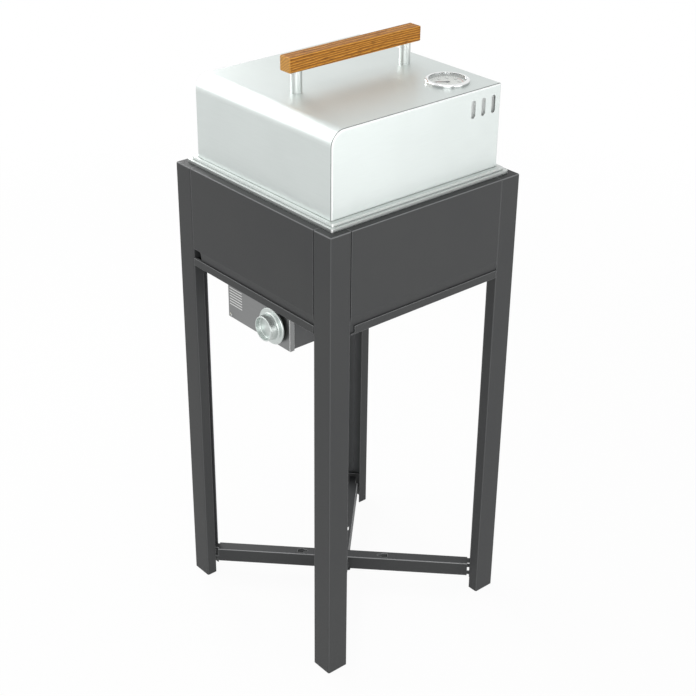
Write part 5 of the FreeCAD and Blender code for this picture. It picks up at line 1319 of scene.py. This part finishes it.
@dataclass
class LiftOffHood:
    """Wrapped hood with its two side panels, handle posts, wooden bar and handle screws."""

    body: str = "hood"
    sheet: float = 1.2 * MM
    panel_skin: float = 1.1 * MM
    front_round: float = 27.0 * MM
    back_round: float = 4.0 * MM
    arc_steps: int = 14
    bead_width: float = 0.5 * MM
    bead_foot: float = 0.5 * MM
    screw_seat: float = 4.0 * MM
    hidden_nut_place: float = 2.0 * MM

    def handle_screws(self) -> bpy.types.Object:
        """Long screws from inside the hood up through the posts.

        Returns:
            The piece.
        """
        low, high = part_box("handle_screws")
        screws = SocketScrews(
            head_radius=6.0 * MM, head_height=3.9 * MM, socket_radius=2.6 * MM, socket_depth=2.5 * MM,
            shank_radius=3.0 * MM, pitch=1.0 * MM, nut_radius=2.9 * MM, nut_height=1.0 * MM)
        seat = low.z + self.screw_seat
        inset = screws.head_radius
        sites = [Site(Vector((0.0, y, seat))) for y in (low.y + inset, high.y - inset)]
        values = screws.values(self.hidden_nut_place, high.z - seat)
        return SmallParts.grow("handle_socket_screws", sites, SmallParts.screw_tree(), values, ZINC)

    def outline(self, inset: float) -> list[tuple[float, float]]:
        """The hood's side outline from the front foot over the top to the back foot.

        Args:
            inset: how far inside the outer face.

        Returns:
            Y and Z of its points, in metres.
        """
        low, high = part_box("hood_shell")
        turns = [math.pi / 2 * k / self.arc_steps for k in range(self.arc_steps + 1)]
        front, back = self.front_round - inset, self.back_round - inset
        points = [(low.y + inset, low.z + self.bead_foot)]
        for turn in turns:
            points.append((low.y + self.front_round - front * math.cos(turn),
                           high.z - self.front_round + front * math.sin(turn)))
        for turn in turns:
            points.append((high.y - self.back_round + back * math.sin(turn),
                           high.z - self.back_round + back * math.cos(turn)))
        points.append((high.y - inset, low.z + self.bead_foot))
        return points

    def seam_beads(self) -> bpy.types.Object:
        """Dark beads in the steps between the wrapped sheet and the side panels, put in as painted shadow
        along the seams.

        Returns:
            The piece.
        """
        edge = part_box("hood_shell")[1].x
        depth = self.sheet
        section = [
            (0.0, 0.1 * depth), (0.55 * self.bead_width, 0.35 * depth),
            (self.bead_width, depth), (0.0, depth)]
        rings = [[(x, y, z) for y, z in self.outline(inset)] for x, inset in section]
        shapes = bmesh.new()
        for side in (1, -1):
            loops = [[shapes.verts.new((side * (edge + x), y, z)) for x, y, z in ring] for ring in rings]
            count = len(loops[0])
            for k in range(count - 1):
                for one, two in zip(loops, loops[1:] + loops[:1]):
                    shapes.faces.new((one[k], one[k + 1], two[k + 1], two[k]))
            shapes.faces.new([loop[0] for loop in loops])
            shapes.faces.new([loop[-1] for loop in loops])
        bmesh.ops.recalc_face_normals(shapes, faces=shapes.faces)
        return linked("hood_seam_beads", mesh_of("hood_seam_beads", shapes), SEAM_SHADOW_BEADS)

    def build(self, nodes: dict[str, bpy.types.Object]) -> None:
        """Dress the hood's sheets, posts and bar and make the screws."""
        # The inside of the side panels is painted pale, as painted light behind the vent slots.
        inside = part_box("hood_side_right")[1].x - self.panel_skin
        # The side panels' edge colour is a painted highlight on their bends.
        cheek = BrushedSheet("Brushed_stainless_hood_side", "hood_sheet", "#C8CECC", 0.42, Grain.DEEP,
                             edge="#F4F6F5", inside_x=inside)
        dress(nodes, {
            "hood_shell": HOOD_WRAP, "hood_side_left": cheek, "hood_side_right": cheek,
            "handle_posts": POST_STEEL, "handle_bar": WOOD})
        settle(self.handle_screws(), self.body, ("handle_screws",))
        settle(self.seam_beads(), self.body)


@dataclass
class DialThermometer:
    """Recessed dial thermometer: case, printed dial, pointer, glass and ring nut."""

    body: str = "hood"
    start_angle: float = math.radians(231.0)
    sweep: float = math.radians(270.0)
    lowest: int = 50
    highest: int = 350
    step: int = 50
    small_ticks: int = 5
    tick_radius: float = 28.5 * MM
    tick_length: float = 3.4 * MM
    tick_width: float = 0.6 * MM
    film: float = 0.06 * MM
    number_radius: float = 19.8 * MM
    number_size: float = 5.4 * MM
    zone_radius: float = 25.8 * MM
    zone_width: float = 1.3 * MM
    zone_film: float = 0.04 * MM
    zone_from: int = 200
    zone_steps: int = 48

    def angle(self, value: float) -> float:
        """Direction on the dial of a temperature, anticlockwise from +X."""
        return self.start_angle - self.sweep * (value - self.lowest) / (self.highest - self.lowest)

    def ticks(self, centre: Vector) -> list[bpy.types.Object]:
        """Long and short ticks round the dial.

        Args:
            centre: middle of the dial's face.

        Returns:
            The two pieces.
        """
        long_sites, short_sites = [], []
        count = (self.highest - self.lowest) // self.step * self.small_ticks
        for k in range(count + 1):
            turn = self.angle(self.lowest + k * self.step / self.small_ticks)
            way = Vector((math.cos(turn), math.sin(turn), 0.0))
            major = k % self.small_ticks == 0
            length = self.tick_length if major else self.tick_length / 2
            site = Site(centre + way * (self.tick_radius - length / 2), way)
            (long_sites if major else short_sites).append(site)
        made = []
        for name, sites, length in (("dial_long_ticks", long_sites, self.tick_length),
                                    ("dial_short_ticks", short_sites, self.tick_length / 2)):
            values = {"Bar Length": length, "Bar Width": self.tick_width, "Bar Height": self.film}
            made.append(SmallParts.grow(name, sites, SmallParts.bar_tree(), values, DIAL_INK))
        return made

    def numbers(self, centre: Vector) -> bpy.types.Object:
        """Plain temperature numbers on the dial.

        Args:
            centre: middle of the dial's face.

        Returns:
            The piece.
        """
        upright = self.angle((self.lowest + self.highest) / 2) - math.pi / 2
        shapes = bmesh.new()
        for value in range(self.lowest, self.highest + 1, self.step):
            text = bpy.data.curves.new("number", "FONT")
            text.body = str(value)
            text.size = self.number_size
            text.extrude = self.film / 2
            text.align_x = "CENTER"
            text.align_y = "CENTER"
            holder = bpy.data.objects.new("number", text)
            bpy.context.scene.collection.objects.link(holder)
            bpy.context.view_layer.update()
            mesh = bpy.data.meshes.new_from_object(
                holder.evaluated_get(bpy.context.evaluated_depsgraph_get()))
            turn = self.angle(value)
            place = centre + Vector((math.cos(turn), math.sin(turn), 0.0)) * self.number_radius
            mesh.transform(Matrix.Translation(place) @ Matrix.Rotation(upright, 4, "Z"))
            shapes.from_mesh(mesh)
            bpy.data.objects.remove(holder)
            bpy.data.curves.remove(text)
            bpy.data.meshes.remove(mesh)
        return linked("dial_numbers", mesh_of("dial_numbers", shapes), DIAL_INK)

    def zone(self, centre: Vector) -> bpy.types.Object:
        """Thin rose band along the hot part of the scale.

        Args:
            centre: middle of the dial's face.

        Returns:
            The piece.
        """
        shapes = bmesh.new()
        first, last = self.angle(self.zone_from), self.angle(self.highest)
        rings = []
        for k in range(self.zone_steps + 1):
            turn = first + (last - first) * k / self.zone_steps
            way = Vector((math.cos(turn), math.sin(turn), 0.0))
            ring = []
            for radius, z in ((0, -1), (1, -1), (1, 1), (0, 1)):
                spot = centre + way * (self.zone_radius + radius * self.zone_width)
                ring.append(shapes.verts.new(spot + Vector((0.0, 0.0, z * self.zone_film / 2))))
            rings.append(ring)
        for a, b in zip(rings, rings[1:]):
            for k in range(4):
                shapes.faces.new((a[k], a[(k + 1) % 4], b[(k + 1) % 4], b[k]))
        shapes.faces.new(rings[0][::-1])
        shapes.faces.new(rings[-1])
        bmesh.ops.recalc_face_normals(shapes, faces=shapes.faces)
        return linked("dial_hot_zone", mesh_of("dial_hot_zone", shapes), ZONE_INK)

    def build(self, nodes: dict[str, bpy.types.Object]) -> None:
        """Dress the thermometer's parts and print its dial."""
        low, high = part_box("thermometer_dial")
        centre = (low + high) / 2
        # The case's dark wall colour is painted shade on its walls.
        case = TurnedMetal("Chrome_plated_thermometer_case", "bezel", "#E8EAEA", 0.05, Turning.UP,
                           tuple(centre), light="#F0F2F2", wall="#3A3C3B", depth_mm=0.001)
        pointer = PointerPaint("Pointer_paint_black_and_red", "pointer_paint", "#0C0A0A", 0.4,
                               hub=tuple(centre))
        dress(nodes, {
            "thermometer_case": case, "thermometer_dial": DIAL, "thermometer_pointer": pointer,
            "thermometer_glass": GLASS, "thermometer_nut": ZINC})
        face = Vector((centre.x, centre.y, high.z))
        for piece in self.ticks(face) + [self.numbers(face)]:
            settle(piece, self.body)
        settle(self.zone(face), self.body)


@dataclass
class Studio:
    """Plain pale floor, white surroundings and soft lamps."""

    floor_radius: float = 16.0
    floor_drop: float = 0.4 * MM
    surround: float = 0.35
    near_white: float = 0.95
    near_radius: float = 0.8
    white_radius: float = 2.6

    def see_through_rays(self, tree: bpy.types.NodeTree) -> bpy.types.NodeSocket:
        """1 for camera, glossy and transmission rays, 0 for the rays that light the object.

        Args:
            tree: tree of the world or of the floor's material.

        Returns:
            The number's socket.
        """
        path = add_node(tree, "ShaderNodeLightPath").outputs
        seen = reckon(tree, "MAXIMUM", path["Is Camera Ray"], path["Is Glossy Ray"])
        return reckon(tree, "MAXIMUM", seen, path["Is Transmission Ray"])

    def world(self) -> None:
        """White surroundings, full for what is seen and softer for what they light."""
        world = bpy.data.worlds.new("white_surroundings")
        world.use_nodes = True
        tree = world.node_tree
        tree.nodes.clear()
        strength = ranged(tree, self.see_through_rays(tree), 0.0, 1.0, self.surround, 1.0)
        light = add_node(tree, "ShaderNodeBackground", inputs={
            "Color": WHITE, "Strength": strength})
        add_node(tree, "ShaderNodeOutputWorld", inputs={"Surface": light.outputs["Background"]})
        bpy.context.scene.world = world

    def floor(self) -> None:
        """Wide pale floor that keeps a soft shadow and is seen as white."""
        shapes = bmesh.new()
        bmesh.ops.create_circle(shapes, cap_ends=True, segments=96, radius=self.floor_radius)
        bmesh.ops.translate(shapes, verts=shapes.verts, vec=Vector((0.0, 0.0, -self.floor_drop)))
        mesh = mesh_of("studio_floor", shapes)
        made = bpy.data.materials.new("Pale_studio_floor")
        made.use_nodes = True
        tree = made.node_tree
        tree.nodes.clear()
        away = reckon_vector(tree, "LENGTH", add_node(tree, "ShaderNodeTexCoord").outputs["Object"])
        far = ranged(tree, away, self.near_radius, self.white_radius, self.near_white, 1.0)
        share = reckon(tree, "MULTIPLY", self.see_through_rays(tree), far)
        matt = add_node(tree, "ShaderNodeBsdfDiffuse", inputs={"Color": linear("#DEDEDD")})
        white = add_node(tree, "ShaderNodeEmission", inputs={"Color": WHITE, "Strength": 1.0})
        both = add_node(tree, "ShaderNodeMixShader", inputs={
            0: share, 1: matt.outputs["BSDF"], 2: white.outputs["Emission"]})
        add_node(tree, "ShaderNodeOutputMaterial", inputs={"Surface": both.outputs["Shader"]})
        mesh.materials.append(made)
        floor = bpy.data.objects.new("studio_floor", mesh)
        bpy.context.scene.collection.objects.link(floor)

    def lamp(self, name: str, place: tuple[float, float, float], aim: tuple[float, float, float],
             size: float, power: float) -> None:
        """Square soft lamp.

        Args:
            name: its name.
            place: where it stands, in metres.
            aim: what it points at.
            size: length of its side.
            power: its power in watts.
        """
        light = bpy.data.lights.new(name, "AREA")
        light.shape = "SQUARE"
        light.size = size
        light.energy = power
        lamp = bpy.data.objects.new(name, light)
        lamp.location = place
        lamp.rotation_euler = (Vector(aim) - Vector(place)).to_track_quat("-Z", "Y").to_euler()
        bpy.context.scene.collection.objects.link(lamp)

    def build(self) -> None:
        """Make the surroundings, the floor and the lamps."""
        self.world()
        self.floor()
        middle = (0.0, 0.0, 0.8)
        self.lamp("key_right", (3.3, 0.9, 0.9), middle, 2.6, 55.0)
        self.lamp("back_left", (-1.6, 0.25, 1.45), (-0.1, 0.0, 1.03), 0.6, 16.0)
        self.lamp("fill_front", (-2.2, -1.3, 2.3), (0.0, 0.0, 0.9), 2.2, 42.0)
        self.lamp("overhead", (0.3, -0.3, 3.6), middle, 1.8, 24.0)
        self.lamp("viewer_side", (2.3, -1.9, 1.3), (0.0, 0.0, 0.9), 1.8, 38.0)
        LOG.info("made the studio")


@dataclass
class PhotoCamera:
    """Camera at the photograph's place, as fitted to the stand's edges."""

    place: tuple[float, float, float] = (1.7804, -1.52135, 1.8069)
    azimuth: float = math.radians(50.89)
    elevation: float = math.radians(28.44)
    roll: float = math.radians(-0.17)
    focal: float = 75.357
    shift: tuple[float, float] = (0.05366, -0.01353)
    sensor_width: float = 36.0
    farthest: float = 100.0

    def build(self) -> None:
        """Make the camera and look through it."""
        data = bpy.data.cameras.new("photo_camera")
        data.sensor_width = self.sensor_width
        data.lens = self.focal
        data.shift_x, data.shift_y = self.shift
        data.clip_end = self.farthest
        a, e, c, s = self.azimuth, self.elevation, math.cos(self.roll), math.sin(self.roll)
        back = Vector((math.sin(a) * math.cos(e), -math.cos(a) * math.cos(e), math.sin(e)))
        level = Vector((math.cos(a), math.sin(a), 0.0))
        above = back.cross(level)
        right = level * c + above * s
        up = above * c - level * s
        turn = Matrix((right, up, back)).transposed().to_4x4()
        camera = bpy.data.objects.new("photo_camera", data)
        camera.matrix_world = Matrix.Translation(Vector(self.place)) @ turn
        bpy.context.scene.collection.objects.link(camera)
        bpy.context.scene.camera = camera


def clear_scene() -> None:
    """Remove what a new file holds."""
    for one in list(bpy.data.objects):
        bpy.data.objects.remove(one)


def main() -> None:
    """Load the frame, build each part of the grill, the studio and the camera, and report them."""
    logging.basicConfig(level=logging.INFO, format="%(name)s: %(message)s")
    clear_scene()
    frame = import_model()
    scene = bpy.context.scene
    scene.view_settings.view_transform = "Standard"
    PhotoCamera().build()
    for part in (FoldedStand(), GrillTub(), ControlBox(), LiftOffHood(), DialThermometer()):
        part.build(frame["nodes"])
    Studio().build()


if __name__ == "__main__":
    main()
